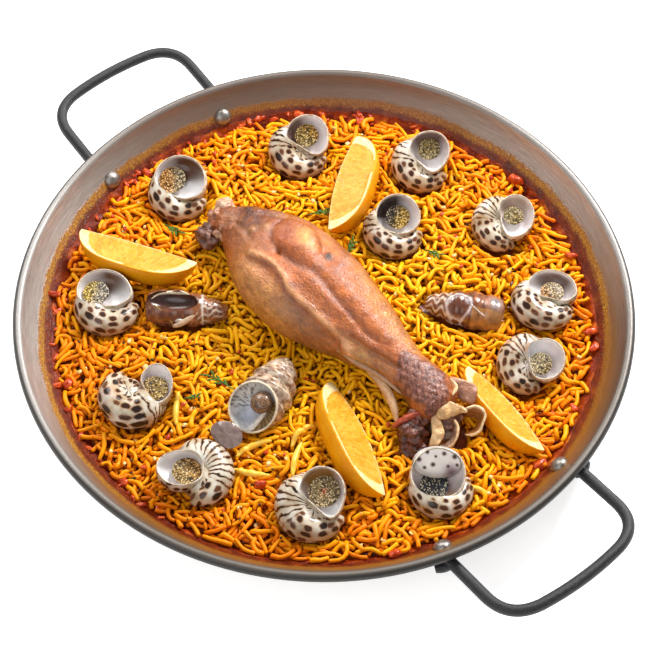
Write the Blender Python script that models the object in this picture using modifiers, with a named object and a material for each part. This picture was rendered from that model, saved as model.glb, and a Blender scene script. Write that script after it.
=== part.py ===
# Noodle paella in its two-handled steel pan, with a shank, snails and lemon wedges on its noodles.
# Lengths are written in millimetres times MM. The origin is at the middle of the pan's base, +Z is up,
# and the two handles lie along X.
import math

import bmesh
import bpy
from mathutils import Matrix, Vector

MM = 0.001
GAP = 0.35 * MM  # left between neighbouring pieces

# Pan
PAN_HEIGHT = 44 * MM
RIM_RADIUS = 200 * MM
BEAD_RADIUS = 3.2 * MM
SHEET = 1.5 * MM
WALL_TOP_RADIUS = 194.1 * MM
WALL_TOP_HEIGHT = 40.3 * MM
WALL_TOP_SLOPE = math.radians(58)
KNUCKLE_SLOPE = math.radians(36)
WALL_ARC_RADIUS = 116 * MM
ROUND_STEPS = 48

# Handles and their feet
ROD_RADIUS = 3.7 * MM
HANDLE_REACH = 249.1 * MM  # from the middle of the pan to the middle of the grip
GRIP_BOW = 6.4 * MM  # how far the grip's middle stands out past its corners
LEG_OFFSET = 51.4 * MM
CORNER_CUT = 20.7 * MM
CORNER_STEPS = 5
LEG_ROOT_X = 184 * MM
LEG_ROOT_Z = 31.4 * MM
HANDLE_RISE = 0.14
FOOT_WIDTH = 19 * MM
FOOT_LENGTH = 21 * MM
FOOT_DEPTH = 6 * MM
FOOT_STAND_OFF = 3.4 * MM  # outer face of the foot, measured from the wall

# Rivets
RIVET_ANGLE = math.radians(14.7)  # from the X axis, on both sides
RIVET_HEIGHT = 26 * MM
RIVET_SHANK = 2.5 * MM
RIVET_HEAD = 4.1 * MM
RIVET_DOME = 2.5 * MM
RIVET_TAIL = 1.8 * MM
HEAD_GAP = 0.5 * MM
HOLE_CLEARANCE = 0.35 * MM

# Noodle bed
BED_EDGE_HEIGHT = 17.5 * MM
BED_CROWN = 4.5 * MM  # how much higher its middle is
BED_RIPPLE = 1.1 * MM
BED_RINGS = 5

# Snails lying mouth up: a whorl that curls round under a round cup
SNAIL_OUTER = 22 * MM  # the whorl's outer edge runs on this circle
WHORL_TAIL_RADIUS = 3 * MM
WHORL_BIG_RADIUS = 12 * MM
WHORL_TAIL_ANGLE = math.radians(302)
WHORL_BIG_ANGLE = math.radians(84)
WHORL_TAIL_LIFT = 10 * MM
WHORL_BIG_LIFT = 12.4 * MM
WHORL_POINTS = 7
WHORL_END = ((58, 0.72, 10.5), (36, 0.35, 9))  # where it dives under the cup: angle, share of radius, lift
MOUTH_HEIGHT = 22.5 * MM
MOUTH_OVERHANG = 0.9 * MM  # how far the lip stands out past the whorl's circle
MOUTH_SIDEWAYS = 1.5 * MM
MOUTH_TILT = math.radians(11)
MOUTH_DEPTH = 10 * MM
MOUTH_WALL = 1.5 * MM
CUP_DEPTH = 18 * MM
NEST_CLEARANCE = 3 * GAP
NEST_RADIUS = 26.5 * MM
NEST_HALF_HEIGHT = 13.2 * MM
NEST_LIFT = 11 * MM

# Each mouth-up snail: x, y, height of its underside, heading of its mouth, turn of the whorl, size, radius
# of its mouth, then the tilt of its mouth and the heading that it tilts towards (millimetres and degrees)
SNAILS = (
    (-141, -16, 15, 108, 1, 0.98, 17.6, 12, -40),
    (-121, 71, 15, 112, 1, 0.98, 15.4, 18, -30),
    (-60, 130.5, 15, 103, 1, 0.98, 15.6, 20, -35),
    (-26, 78.5, 17, 125, 1, 0.95, 16.2, 14, -25),
    (13, 140, 14, 66, 1, 0.95, 15.8, 12, 0),
    (81, 118, 15, 120, 1, 1.0, 16.2, 8, 120),
    (110, 80, 15, 60, 1, 0.97, 14.8, 16, -20),
    (-92, -108, 14, 134, 1, 0.98, 17.6, 1, 130),
    (-22.5, -134.5, 15, 92, -1, 1.03, 14.6, 12, 60),
    (47, -133.5, 14, 238, -1, 1.03, 15.8, 8, -100),
    (108, -92, 15, 106, 1, 1.05, 16.4, 12, -30),
    (145, -21, 14, 255, 1, 0.9, 17.2, 14, -90),
)

# The tall snail, with its spire and open mouth, and the two dark ones lying down
TALL_SNAIL_PLACE = (29, -70, 31)
TALL_SNAIL_HEADING = 294  # heading of the mouth end
TALL_SNAIL_LENGTH = 54 * MM
TALL_SNAIL_RADIUS = 16.5 * MM
TALL_MOUTH_RADIUS = 16 * MM
TALL_MOUTH_PLACE = (10 * MM, 0, 9 * MM)
TALL_MOUTH_LEAN = math.radians(38)
TALL_CUP_DEPTH = 19 * MM
TALL_CUP_HOLLOW = 11 * MM
SNAIL_FLAP_RADIUS = 7.5 * MM
SNAIL_FLAP_PLACE = (24 * MM, -6 * MM, -1 * MM)
SNAIL_FLAP_LEAN = math.radians(14)
# Each dark snail: x, y, z of its middle, heading of its mouth end, length
DARK_SNAILS = (
    (-57, -67, 26, 228, 54),
    (50, 74, 26, 40, 52),
)
DARK_SNAIL_RADIUS = 12.5 * MM
DARK_MOUTH_RADIUS = 9 * MM
DARK_MOUTH_STRETCH = 1.45
DARK_MOUTH_PLACE = (-2 * MM, -2 * MM, 7.5 * MM)
DARK_MOUTH_LEAN = math.radians(14)

# Lemon wedges: a slice out of a lemon, its two cut faces meeting at the core
WEDGE_HALF_ANGLE = math.radians(31)
WEDGE_STATIONS = 10
WEDGE_TIP = 0.97  # how near to its pointed ends the outermost sections lie
# Each wedge: x, y, z of the middle of its core edge, heading, roll, half length, radius, bow of its core edge
WEDGES = (
    (-114, -67, 35.5, 213, 75, 43, 24, 1),
    (-76, 74, 33, -51, 85, 43, 23.5, 1),
    (87, -40, 27, 164, 101, 46, 21, 3),
    (126, 48, 26, 178, 94, 39, 17.5, 3),
)

# Shank: stations along X with the middle's y and z, half width and half height (millimetres)
SHANK_STATIONS = (
    (-104, -12, 34, 7, 6),
    (-96, -9, 35, 14, 11),
    (-84, -4, 37, 18, 14.5),
    (-68, -3, 39.5, 26, 19),
    (-50, -3.5, 42, 33, 23.5),
    (-28, -3.5, 43.5, 36.5, 26),
    (-6, -2, 43.5, 36, 26),
    (16, 2, 42, 31, 23.5),
    (35, 6, 40.5, 24.5, 20),
    (52, 8.5, 39.5, 18.5, 16.5),
    (70, 10.5, 38.5, 13.5, 13.5),
    (84, 12, 37.5, 13.5, 13),
    (98, 13, 36, 18, 14.5),
    (110, 14, 35, 19, 14),
    (116, 14, 35, 13, 10),
)
SHANK_SIDES = 12
TENDON_RADIUS = 3.6 * MM
TENDON_POINTS = ((44, -9, 31), (58, -10, 30), (72, -8.5, 30), (86, -6, 31), (99, -1, 33))
TENDON_SHARES = (1.3, 1.05, 0.9, 1.0, 1.5)
# Each knob: its middle, then its half sizes
KNOBS = (
    ((-105, -4, 42), (8, 9, 7)),
    ((-92, -25, 31), (10, 8, 8)),
    ((104, -6, 28), (11, 10, 9)),
)
FLAP_THICKNESS = 3 * MM
FLAP_WIDTH = 15 * MM
# Each curled flap of the cut end: radius, how far it curls, spin, lean, then its middle
SHANK_FLAPS = (
    (9, 170, 60, 80, (117, 19, 39)),
    (8, 160, 200, 70, (124, 12, 38)),
    (7, 190, 150, 60, (122, -2, 30)),
    (8, 150, 250, 100, (119, 14, 27)),
)

COLOURS = {
    "pan": ((0.42, 0.39, 0.36, 1), 0.38, 0.9),
    "handle": ((0.03, 0.03, 0.032, 1), 0.5, 0.4),
    "rivet": ((0.7, 0.69, 0.67, 1), 0.2, 1.0),
    "noodles": ((0.85, 0.5, 0.03, 1), 0.45, 0.0),
    "snail": ((0.78, 0.72, 0.64, 1), 0.3, 0.0),
    "dark snail": ((0.28, 0.15, 0.1, 1), 0.3, 0.0),
    "lemon": ((0.95, 0.66, 0.05, 1), 0.4, 0.0),
    "shank": ((0.55, 0.27, 0.15, 1), 0.4, 0.0),
}


def clearScene():
    for obj in list(bpy.data.objects):
        bpy.data.objects.remove(obj, do_unlink=True)


def newCollection(name, hidden=False):
    collection = bpy.data.collections.new(name)
    collection.hide_render = hidden
    bpy.context.scene.collection.children.link(collection)
    return collection


def newMaterial(name):
    colour, roughness, metallic = COLOURS[name]
    material = bpy.data.materials.new(name)
    material.use_nodes = True
    material.diffuse_color = colour
    shader = material.node_tree.nodes["Principled BSDF"]
    shader.inputs["Base Color"].default_value = colour
    shader.inputs["Roughness"].default_value = roughness
    shader.inputs["Metallic"].default_value = metallic
    return material


def meshFrom(bm, name):
    """A smooth-shaded mesh with its faces pointing out."""
    bmesh.ops.recalc_face_normals(bm, faces=bm.faces[:])
    mesh = bpy.data.meshes.new(name)
    bm.to_mesh(mesh)
    bm.free()
    mesh.shade_smooth()
    mesh.set_sharp_from_angle(angle=math.radians(40))
    return mesh


def addPiece(mesh, name, material):
    """Puts a visible sub-part into the paella's collection."""
    obj = bpy.data.objects.new(name, mesh)
    if not mesh.materials:
        mesh.materials.append(material)
    paella.objects.link(obj)
    return obj


def addCutter(mesh, name, collection):
    obj = bpy.data.objects.new(name, mesh)
    obj.hide_render = True
    obj.display_type = "WIRE"
    collection.objects.link(obj)
    return obj


def addBoolean(obj, operation, other=None, collection=None):
    modifier = obj.modifiers.new(operation.title(), "BOOLEAN")
    modifier.operation = operation
    modifier.solver = "EXACT"
    if collection:
        modifier.operand_type = "COLLECTION"
        modifier.collection = collection
    else:
        modifier.object = other
    return modifier


def evaluatedMesh(obj):
    """The object's mesh with its modifiers worked out, caps welded."""
    bpy.context.view_layer.update()
    graph = bpy.context.evaluated_depsgraph_get()
    mesh = bpy.data.meshes.new_from_object(obj.evaluated_get(graph))
    bm = bmesh.new()
    bm.from_mesh(mesh)
    bmesh.ops.remove_doubles(bm, verts=bm.verts[:], dist=0.02 * MM)
    bpy.data.meshes.remove(mesh)
    return meshFrom(bm, obj.name)


def turnedObject(profile, name, steps, link):
    """Turns a profile of (radius, height) points about Z. The profile runs down its outer side."""
    bm = bmesh.new()
    points = [bm.verts.new((radius, 0, height)) for radius, height in profile]
    for first, second in zip(points, points[1:]):
        bm.edges.new((first, second))
    mesh = bpy.data.meshes.new(name)
    bm.to_mesh(mesh)
    bm.free()
    obj = link(mesh, name)
    screw = obj.modifiers.new("Turn", "SCREW")
    screw.axis = "Z"
    screw.angle = math.tau
    screw.steps = steps
    screw.render_steps = steps
    screw.use_merge_vertices = True
    screw.merge_threshold = 0.00001
    screw.use_smooth_shade = True
    return obj


def turnedMesh(profile, name, steps):
    """The same turned shape as a plain mesh."""
    guide = turnedObject(profile, name, steps, lambda mesh, label: addCutter(mesh, label, cutters))
    mesh = evaluatedMesh(guide)
    bpy.data.objects.remove(guide, do_unlink=True)
    return mesh


def tubeMesh(points, radii, name, resolution=2):
    """A tube along the points, each with its own radius, closed at both ends."""
    curve = bpy.data.curves.new(name, "CURVE")
    curve.dimensions = "3D"
    curve.bevel_depth = 1.0
    curve.bevel_resolution = resolution
    curve.use_fill_caps = True
    spline = curve.splines.new("POLY")
    spline.points.add(len(points) - 1)
    for slot, point, radius in zip(spline.points, points, radii):
        slot.co = (*point, 1)
        slot.radius = radius
    guide = bpy.data.objects.new(name, curve)
    cutters.objects.link(guide)
    mesh = evaluatedMesh(guide)
    bpy.data.objects.remove(guide, do_unlink=True)
    bpy.data.curves.remove(curve)
    return mesh


def joinedMesh(first, others, name):
    """One body out of overlapping closed meshes."""
    body = addCutter(first, name, cutters)
    tools = []
    for other in others:
        tool = addCutter(other, f"{name} tool", cutters)
        addBoolean(body, "UNION", tool)
        tools.append(tool)
    mesh = evaluatedMesh(body)
    for guide in (body, *tools):
        bpy.data.objects.remove(guide, do_unlink=True)
    return mesh


def heading(degrees):
    return Matrix.Rotation(math.radians(degrees), 4, "Z")


def leaned(degrees, towards):
    """A tilt of the upright direction towards a heading."""
    angle = math.radians(towards)
    axis = Vector((-math.sin(angle), math.cos(angle), 0))
    return Matrix.Rotation(math.radians(degrees), 4, axis)


# Pan wall: two arcs that share a tangent, given by the slope at each point

def wallPoint(slope, offset=0.0):
    """(radius, height) of the inner face where it has this slope, moved outwards by the offset."""
    knuckleRadius = WALL_TOP_RADIUS - WALL_ARC_RADIUS * (math.sin(WALL_TOP_SLOPE) - math.sin(KNUCKLE_SLOPE))
    knuckleHeight = WALL_TOP_HEIGHT - WALL_ARC_RADIUS * (math.cos(KNUCKLE_SLOPE) - math.cos(WALL_TOP_SLOPE))
    if slope >= KNUCKLE_SLOPE:
        radius = knuckleRadius + WALL_ARC_RADIUS * (math.sin(slope) - math.sin(KNUCKLE_SLOPE))
        height = knuckleHeight + WALL_ARC_RADIUS * (math.cos(KNUCKLE_SLOPE) - math.cos(slope))
    else:
        arc = (knuckleHeight - SHEET) / (1 - math.cos(KNUCKLE_SLOPE))
        radius = knuckleRadius - arc * (math.sin(KNUCKLE_SLOPE) - math.sin(slope))
        height = SHEET + arc * (1 - math.cos(slope))
    return radius + offset * math.sin(slope), height - offset * math.cos(slope)


def slopeAt(height):
    """The wall's slope where its inner face is at this height."""
    rise = WALL_TOP_HEIGHT - height
    return math.acos(math.cos(WALL_TOP_SLOPE) + rise / WALL_ARC_RADIUS)


def beadPoint(degrees, extra=0.0):
    angle = math.radians(degrees)
    reach = BEAD_RADIUS + extra
    return (
        RIM_RADIUS - BEAD_RADIUS + reach * math.cos(angle),
        PAN_HEIGHT - BEAD_RADIUS + reach * math.sin(angle),
    )


LOWER_SLOPES = [0, math.radians(20), KNUCKLE_SLOPE, slopeAt(BED_EDGE_HEIGHT)]
WALL_SLOPES = [*LOWER_SLOPES, slopeAt(RIVET_HEIGHT), math.radians(57)]


def panProfile():
    inner = [wallPoint(slope) for slope in WALL_SLOPES]
    bead = [beadPoint(degrees) for degrees in (170, 110, 50, -10, -70)]
    outer = [wallPoint(slope, SHEET) for slope in reversed(WALL_SLOPES[:-1])]
    return [(0, SHEET), *inner, *bead, *outer, (0, 0)]


def panEnvelope():
    """The pan's outside as one solid, a gap larger all round. It trims what is fitted against the wall."""
    inside = [wallPoint(slope, SHEET + GAP) for slope in reversed(WALL_SLOPES[:-1])]
    bead = [beadPoint(degrees, 1.5 * GAP) for degrees in (110, 50, -10, -70)]
    top = [(0, PAN_HEIGHT + GAP)]
    return [*top, *bead, *inside, (0, -SHEET)]


def wallFrame(angle, height):
    """A frame on the wall's inner face: X along the rim, Y up the slope, Z out through the wall."""
    slope = slopeAt(height)
    radius, level = wallPoint(slope)
    out = Vector((math.cos(angle), math.sin(angle), 0))
    up = Vector((0, 0, 1))
    along = Vector((-math.sin(angle), math.cos(angle), 0))
    uphill = out * math.cos(slope) + up * math.sin(slope)
    normal = along.cross(uphill)
    place = out * radius + up * level
    matrix = Matrix((along, uphill, normal)).transposed().to_4x4()
    return Matrix.Translation(place) @ matrix


def rivetAngles():
    for side in (0, math.pi):
        for sign in (1, -1):
            yield side + sign * RIVET_ANGLE


def cylinderMesh(radius, low, high, sides, name):
    bm = bmesh.new()
    bmesh.ops.create_cone(
        bm,
        cap_ends=True,
        segments=sides,
        radius1=radius,
        radius2=radius,
        depth=high - low,
        matrix=Matrix.Translation((0, 0, (low + high) / 2)),
    )
    return meshFrom(bm, name)


def buildPan():
    pan = turnedObject(panProfile(), "pan", ROUND_STEPS, lambda mesh, name: addPiece(mesh, name, steel))
    hole = cylinderMesh(RIVET_SHANK + HOLE_CLEARANCE, -6 * MM, 10 * MM, 10, "rivet hole")
    for angle in rivetAngles():
        drill = addCutter(hole, "rivet hole", drills)
        drill.matrix_world = wallFrame(angle, RIVET_HEIGHT)
    addBoolean(pan, "DIFFERENCE", collection=drills)
    return pan


def rodPath():
    """Half of one handle, from its root to the middle of the grip, then mirrored."""
    cornerX = HANDLE_REACH - GRIP_BOW
    bow = GRIP_BOW / LEG_OFFSET**2
    start = Vector((cornerX - CORNER_CUT, LEG_OFFSET))
    corner = Vector((cornerX, LEG_OFFSET))
    endY = LEG_OFFSET - CORNER_CUT
    end = Vector((HANDLE_REACH - bow * endY**2, endY))
    half = [Vector((LEG_ROOT_X, LEG_OFFSET))]
    for step in range(CORNER_STEPS + 1):
        t = step / CORNER_STEPS
        half.append((1 - t) ** 2 * start + 2 * t * (1 - t) * corner + t**2 * end)
    half.append(Vector((HANDLE_REACH - bow * (endY / 2) ** 2, endY / 2)))
    middle = [Vector((HANDLE_REACH, 0))]
    mirrored = [Vector((point.x, -point.y)) for point in reversed(half)]
    flat = half + middle + mirrored
    return [(p.x, p.y, LEG_ROOT_Z + HANDLE_RISE * (p.x - LEG_ROOT_X)) for p in flat]


def footMesh():
    """A round-cornered plate against the outside of the wall, before it is trimmed."""
    bm = bmesh.new()
    top = SHEET + GAP + FOOT_STAND_OFF
    size = (FOOT_WIDTH, FOOT_LENGTH, FOOT_DEPTH)
    place = Matrix.Translation((0, 1.5 * MM, top - FOOT_DEPTH / 2))
    bmesh.ops.create_cube(bm, size=1, matrix=place @ Matrix.Diagonal((*size, 1)))
    upright = [e for e in bm.edges if abs((e.verts[0].co - e.verts[1].co).z) > FOOT_DEPTH / 2]
    bmesh.ops.bevel(bm, geom=upright, offset=7 * MM, offset_type="OFFSET", segments=2,
                    profile=0.5, affect="EDGES", material=-1)
    return meshFrom(bm, "foot")


def buildHandles():
    path = rodPath()
    foot = footMesh()
    rod = tubeMesh(path, [ROD_RADIUS] * len(path), "rod")
    feet = []
    for sign in (1, -1):
        copy = foot.copy()
        copy.transform(wallFrame(sign * RIVET_ANGLE, RIVET_HEIGHT))
        feet.append(copy)
    blank = joinedMesh(rod, feet, "handle blank")
    envelope = turnedObject(panEnvelope(), "pan envelope", ROUND_STEPS,
                            lambda mesh, name: addCutter(mesh, name, trims))
    for index, side in enumerate((0, 180)):
        handle = addPiece(blank.copy(), f"handle_{index + 1}", blackPaint)
        handle.matrix_world = heading(side)
        addBoolean(handle, "DIFFERENCE", envelope)
        addBoolean(handle, "DIFFERENCE", collection=drills)


def buildRivets():
    """A domed head inside, a shank through wall and foot, and a flat-domed head outside."""
    outside = SHEET + GAP + FOOT_STAND_OFF + GAP
    profile = [
        (0, outside + RIVET_TAIL),
        (2.6 * MM, outside + 0.8 * RIVET_TAIL),
        (RIVET_HEAD, outside),
        (RIVET_SHANK, outside),
        (RIVET_SHANK, -HEAD_GAP),
        (RIVET_HEAD, -HEAD_GAP),
        (0.75 * RIVET_HEAD, -HEAD_GAP - 0.66 * RIVET_DOME),
        (0.36 * RIVET_HEAD, -HEAD_GAP - 0.95 * RIVET_DOME),
        (0, -HEAD_GAP - RIVET_DOME),
    ]
    mesh = turnedMesh(profile, "rivet", 8)
    for index, angle in enumerate(rivetAngles()):
        rivet = addPiece(mesh, f"rivet_{index + 1}", bareSteel)
        rivet.matrix_world = wallFrame(angle, RIVET_HEIGHT)


def bedHeight(x, y):
    """Top of the noodles: a low crown with an uneven surface."""
    reach = math.hypot(x, y) / wallPoint(slopeAt(BED_EDGE_HEIGHT))[0]
    crown = BED_CROWN * (1 - reach**4)
    ripple = math.sin(x / (11 * MM) + 1.3) * math.cos(y / (13 * MM)) + math.sin((x + 2 * y) / (19 * MM))
    return BED_EDGE_HEIGHT + crown + BED_RIPPLE * ripple * min(1, 4 * (1 - reach))


def buildBed():
    edge = slopeAt(BED_EDGE_HEIGHT)
    edgeRadius, edgeLevel = wallPoint(edge, -GAP)
    top = [(edgeRadius * (ring / BED_RINGS) ** 0.8, edgeLevel) for ring in range(BED_RINGS)]
    side = [wallPoint(slope, -GAP) for slope in reversed(LOWER_SLOPES)]
    mesh = turnedMesh([*top, *side, (0, SHEET + GAP)], "noodle_bed", ROUND_STEPS)
    for vertex in mesh.vertices:
        x, y, z = vertex.co
        if z > edgeLevel - 0.1 * MM and math.hypot(x, y) < edgeRadius - MM:
            vertex.co.z = bedHeight(x, y)
    bed = addPiece(mesh, "noodle_bed", noodleYellow)
    addBoolean(bed, "DIFFERENCE", collection=nests)


def whorlMesh(turn):
    """The snail's body whorl: it swells as it curls from its pointed tail, then dives under the mouth."""
    path = []
    for step in range(WHORL_POINTS):
        t = step / (WHORL_POINTS - 1)
        radius = WHORL_TAIL_RADIUS + (WHORL_BIG_RADIUS - WHORL_TAIL_RADIUS) * t**0.7
        angle = WHORL_TAIL_ANGLE + (WHORL_BIG_ANGLE - WHORL_TAIL_ANGLE) * t
        path.append((angle, radius, WHORL_TAIL_LIFT + (WHORL_BIG_LIFT - WHORL_TAIL_LIFT) * t))
    for degrees, share, lift in WHORL_END:
        path.append((math.radians(degrees), share * WHORL_BIG_RADIUS, lift * MM))
    points = []
    for angle, radius, lift in path:
        reach = SNAIL_OUTER - radius
        points.append((reach * math.cos(angle), turn * reach * math.sin(angle), lift))
    return tubeMesh(points, [radius for angle, radius, lift in path], "whorl", 1)


def cupMesh(radius, depth, hollow, wall, name, steps=10):
    """A round cup, its lip at height 0, opening up, with a flat floor inside."""
    outer = [(radius, -0.8 * MM), (0.97 * radius, -0.5 * depth), (0.7 * radius, -0.88 * depth), (0, -depth)]
    inner = [(0, -hollow), (0.62 * radius, -hollow), (radius - wall, 0)]
    return turnedMesh([*inner, *outer], name, steps)


def snailMesh(turn, mouthRadius):
    cup = cupMesh(mouthRadius, CUP_DEPTH, MOUTH_DEPTH, MOUTH_WALL, "cup")
    reach = SNAIL_OUTER + MOUTH_OVERHANG - mouthRadius
    place = Matrix.Translation((reach, turn * MOUTH_SIDEWAYS, MOUTH_HEIGHT))
    cup.transform(place @ Matrix.Rotation(-MOUTH_TILT, 4, "Y"))
    return joinedMesh(whorlMesh(turn), [cup], "snail")


def buildSnails():
    bm = bmesh.new()
    bmesh.ops.create_uvsphere(bm, u_segments=10, v_segments=5, radius=1)
    bmesh.ops.scale(bm, vec=(NEST_RADIUS, NEST_RADIUS, NEST_HALF_HEIGHT), verts=bm.verts[:])
    nest = meshFrom(bm, "nest")
    for index, (x, y, base, mouth, turn, size, mouthRadius, tilt, towards) in enumerate(SNAILS):
        snail = addPiece(snailMesh(turn, mouthRadius * MM), f"snail_{index + 1:02d}", spotted)
        place = Matrix.Translation((x * MM, y * MM, base * MM))
        pivot = Matrix.Translation((0, 0, NEST_LIFT * size))
        turned = pivot @ leaned(tilt, towards) @ pivot.inverted() @ heading(mouth)
        snail.matrix_world = place @ turned @ Matrix.Scale(size, 4)
        hollow = addCutter(nest, "snail nest", nests)
        hollow.matrix_world = snail.matrix_world @ Matrix.Translation((0, 0, NEST_LIFT))


def spireMesh(length, radius, whorls, sides, name):
    """A turned spire along -X: its whorls swell and tuck in at each seam, down to a round end."""
    profile = []
    steps = 2 * whorls
    for step in range(steps + 1):
        t = step / steps
        bulge = 1.0 if step % 2 else 0.86
        reach = radius * math.sin(math.pi * min(1, 0.12 + 0.55 * t)) ** 0.8
        profile.append((reach * bulge, length * (1 - t)))
    mesh = turnedMesh([(0, length * 1.02), *profile, (0, -0.1 * length)], name, sides)
    mesh.transform(Matrix.Rotation(math.radians(-90), 4, "Y"))
    return mesh


def buildTallSnail():
    """The tall snail: a spotted spire with an open cup at its mouth and a flap beside it."""
    spire = spireMesh(TALL_SNAIL_LENGTH * 0.72, TALL_SNAIL_RADIUS, 4, 10, "spire")
    cup = cupMesh(TALL_MOUTH_RADIUS, TALL_CUP_DEPTH, TALL_CUP_HOLLOW, MOUTH_WALL, "tall cup")
    cup.transform(Matrix.Translation(TALL_MOUTH_PLACE) @ Matrix.Rotation(TALL_MOUTH_LEAN, 4, "Y"))
    flap = cylinderMesh(SNAIL_FLAP_RADIUS, 0, 2 * MM, 12, "flap")
    flap.transform(Matrix.Translation(SNAIL_FLAP_PLACE) @ Matrix.Rotation(SNAIL_FLAP_LEAN, 4, "Y"))
    mesh = joinedMesh(spire, [cup, flap], "tall snail")
    mesh.transform(Matrix.Translation((TALL_SNAIL_LENGTH * 0.2, 0, 0)))
    snail = addPiece(mesh, f"snail_{len(SNAILS) + 1:02d}", spotted)
    place = Matrix.Translation([value * MM for value in TALL_SNAIL_PLACE])
    snail.matrix_world = place @ heading(TALL_SNAIL_HEADING)
    addNest(snail)


def buildDarkSnails():
    """Two dark spindle snails lying on their sides, each with a slanted open mouth."""
    for index, (x, y, z, mouth, length) in enumerate(DARK_SNAILS):
        spindle = spireMesh(length * 0.8 * MM, DARK_SNAIL_RADIUS, 3, 10, "spindle")
        cup = cupMesh(DARK_MOUTH_RADIUS, 12 * MM, 6 * MM, MOUTH_WALL, "slanted cup")
        cup.transform(Matrix.Scale(DARK_MOUTH_STRETCH, 4, (1, 0, 0)))
        cup.transform(Matrix.Translation(DARK_MOUTH_PLACE) @ Matrix.Rotation(DARK_MOUTH_LEAN, 4, "Y"))
        mesh = joinedMesh(spindle, [cup], "dark snail")
        mesh.transform(Matrix.Translation((0.34 * length * MM, 0, 0)))
        snail = addPiece(mesh, f"snail_{len(SNAILS) + 2 + index:02d}", darkSpiral)
        snail.matrix_world = Matrix.Translation((x * MM, y * MM, z * MM)) @ heading(mouth)
        addNest(snail)


def addNest(obj):
    """A cutter a little larger than the piece's hull, so that the noodles keep clear of it."""
    bm = bmesh.new()
    for vertex in obj.data.vertices:
        bm.verts.new(vertex.co + vertex.normal * NEST_CLEARANCE)
    bmesh.ops.convex_hull(bm, input=bm.verts[:])
    loose = [vertex for vertex in bm.verts if not vertex.link_faces]
    bmesh.ops.delete(bm, geom=loose, context="VERTS")
    cutter = addCutter(meshFrom(bm, "nest"), f"{obj.name} nest", nests)
    cutter.matrix_world = obj.matrix_world.copy()


def lofted(sections, name):
    """One body through closed sections that all have the same number of points."""
    bm = bmesh.new()
    rings = []
    for section in sections:
        ring = [bm.verts.new(point) for point in section]
        rings.append([bm.edges.new((a, b)) for a, b in zip(ring, ring[1:] + ring[:1])])
    for first, second in zip(rings, rings[1:]):
        bmesh.ops.bridge_loops(bm, edges=first + second)
    for end in (rings[0], rings[-1]):
        bmesh.ops.contextual_create(bm, geom=end)
    return meshFrom(bm, name)


def wedgeMesh(halfLength, radius, bow):
    """A wedge along X: the core edge by the X axis, the rind towards -Z, a cut face on each side."""
    sections = []
    for step in range(WEDGE_STATIONS + 1):
        t = WEDGE_TIP * (2 * step / WEDGE_STATIONS - 1)
        reach = radius * (1 - abs(t) ** 2.4) ** 0.7
        section = [(halfLength * t, 0, (1 - t * t) * bow)]
        for turn in range(5):
            angle = WEDGE_HALF_ANGLE * (turn / 2 - 1)
            section.append((halfLength * t, reach * math.sin(angle), -reach * math.cos(angle)))
        sections.append(section)
    return lofted(sections, "wedge")


def buildLemons():
    for index, (x, y, z, along, roll, halfLength, radius, bow) in enumerate(WEDGES):
        mesh = wedgeMesh(halfLength * MM, radius * MM, bow * MM)
        wedge = addPiece(mesh, f"lemon_wedge_{index + 1}", lemonYellow)
        place = Matrix.Translation((x * MM, y * MM, z * MM))
        wedge.matrix_world = place @ heading(along) @ Matrix.Rotation(math.radians(roll), 4, "X")
        addNest(wedge)


def shankBody():
    """The meat as a loft of oval sections along its length."""
    sections = []
    for x, y, z, halfWidth, halfHeight in SHANK_STATIONS:
        section = []
        for side in range(SHANK_SIDES):
            angle = math.tau * side / SHANK_SIDES
            across = y + halfWidth * math.cos(angle)
            level = z + halfHeight * math.sin(angle)
            section.append((x * MM, across * MM, level * MM))
        sections.append(section)
    return lofted(sections, "shank body")


def flapMesh(radius, degrees):
    """A curled strip: a flat section swept round part of a circle."""
    bm = bmesh.new()
    place = Matrix.Translation((radius, 0, FLAP_WIDTH / 2))
    size = Matrix.Diagonal((FLAP_THICKNESS, 1, FLAP_WIDTH, 1))
    upright = Matrix.Rotation(math.radians(90), 4, "X")
    bmesh.ops.create_grid(bm, x_segments=1, y_segments=1, size=0.5, matrix=place @ size @ upright)
    bmesh.ops.spin(bm, geom=bm.verts[:] + bm.edges[:] + bm.faces[:], cent=(0, 0, 0), axis=(0, 0, 1),
                   dvec=(0, 0, 0), angle=math.radians(degrees), steps=5, use_duplicate=False)
    return meshFrom(bm, "flap")


def knobMesh(place, size):
    bm = bmesh.new()
    scale = Matrix.Diagonal((*[value * MM for value in size], 1))
    centre = Matrix.Translation([value * MM for value in place])
    bmesh.ops.create_icosphere(bm, subdivisions=1, radius=1, matrix=centre @ scale)
    return meshFrom(bm, "knob")


def buildShank():
    """The shank with its end knobs, the tendon beside the shin and the curled flaps of its cut end."""
    tendonPath = [[value * MM for value in point] for point in TENDON_POINTS]
    tendon = tubeMesh(tendonPath, [share * TENDON_RADIUS for share in TENDON_SHARES], "tendon", 1)
    knobs = [knobMesh(place, size) for place, size in KNOBS]
    flaps = []
    for radius, sweep, spin, lean, place in SHANK_FLAPS:
        flap = flapMesh(radius * MM, sweep)
        flap.transform(
            Matrix.Translation([value * MM for value in place])
            @ Matrix.Rotation(math.radians(lean), 4, "Y")
            @ heading(spin)
            @ Matrix.Translation((0, 0, -FLAP_WIDTH / 2))
        )
        flaps.append(flap)
    mesh = joinedMesh(shankBody(), [tendon, *knobs, *flaps], "shank")
    shank = addPiece(mesh, "shank", meat)
    addNest(shank)


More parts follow.
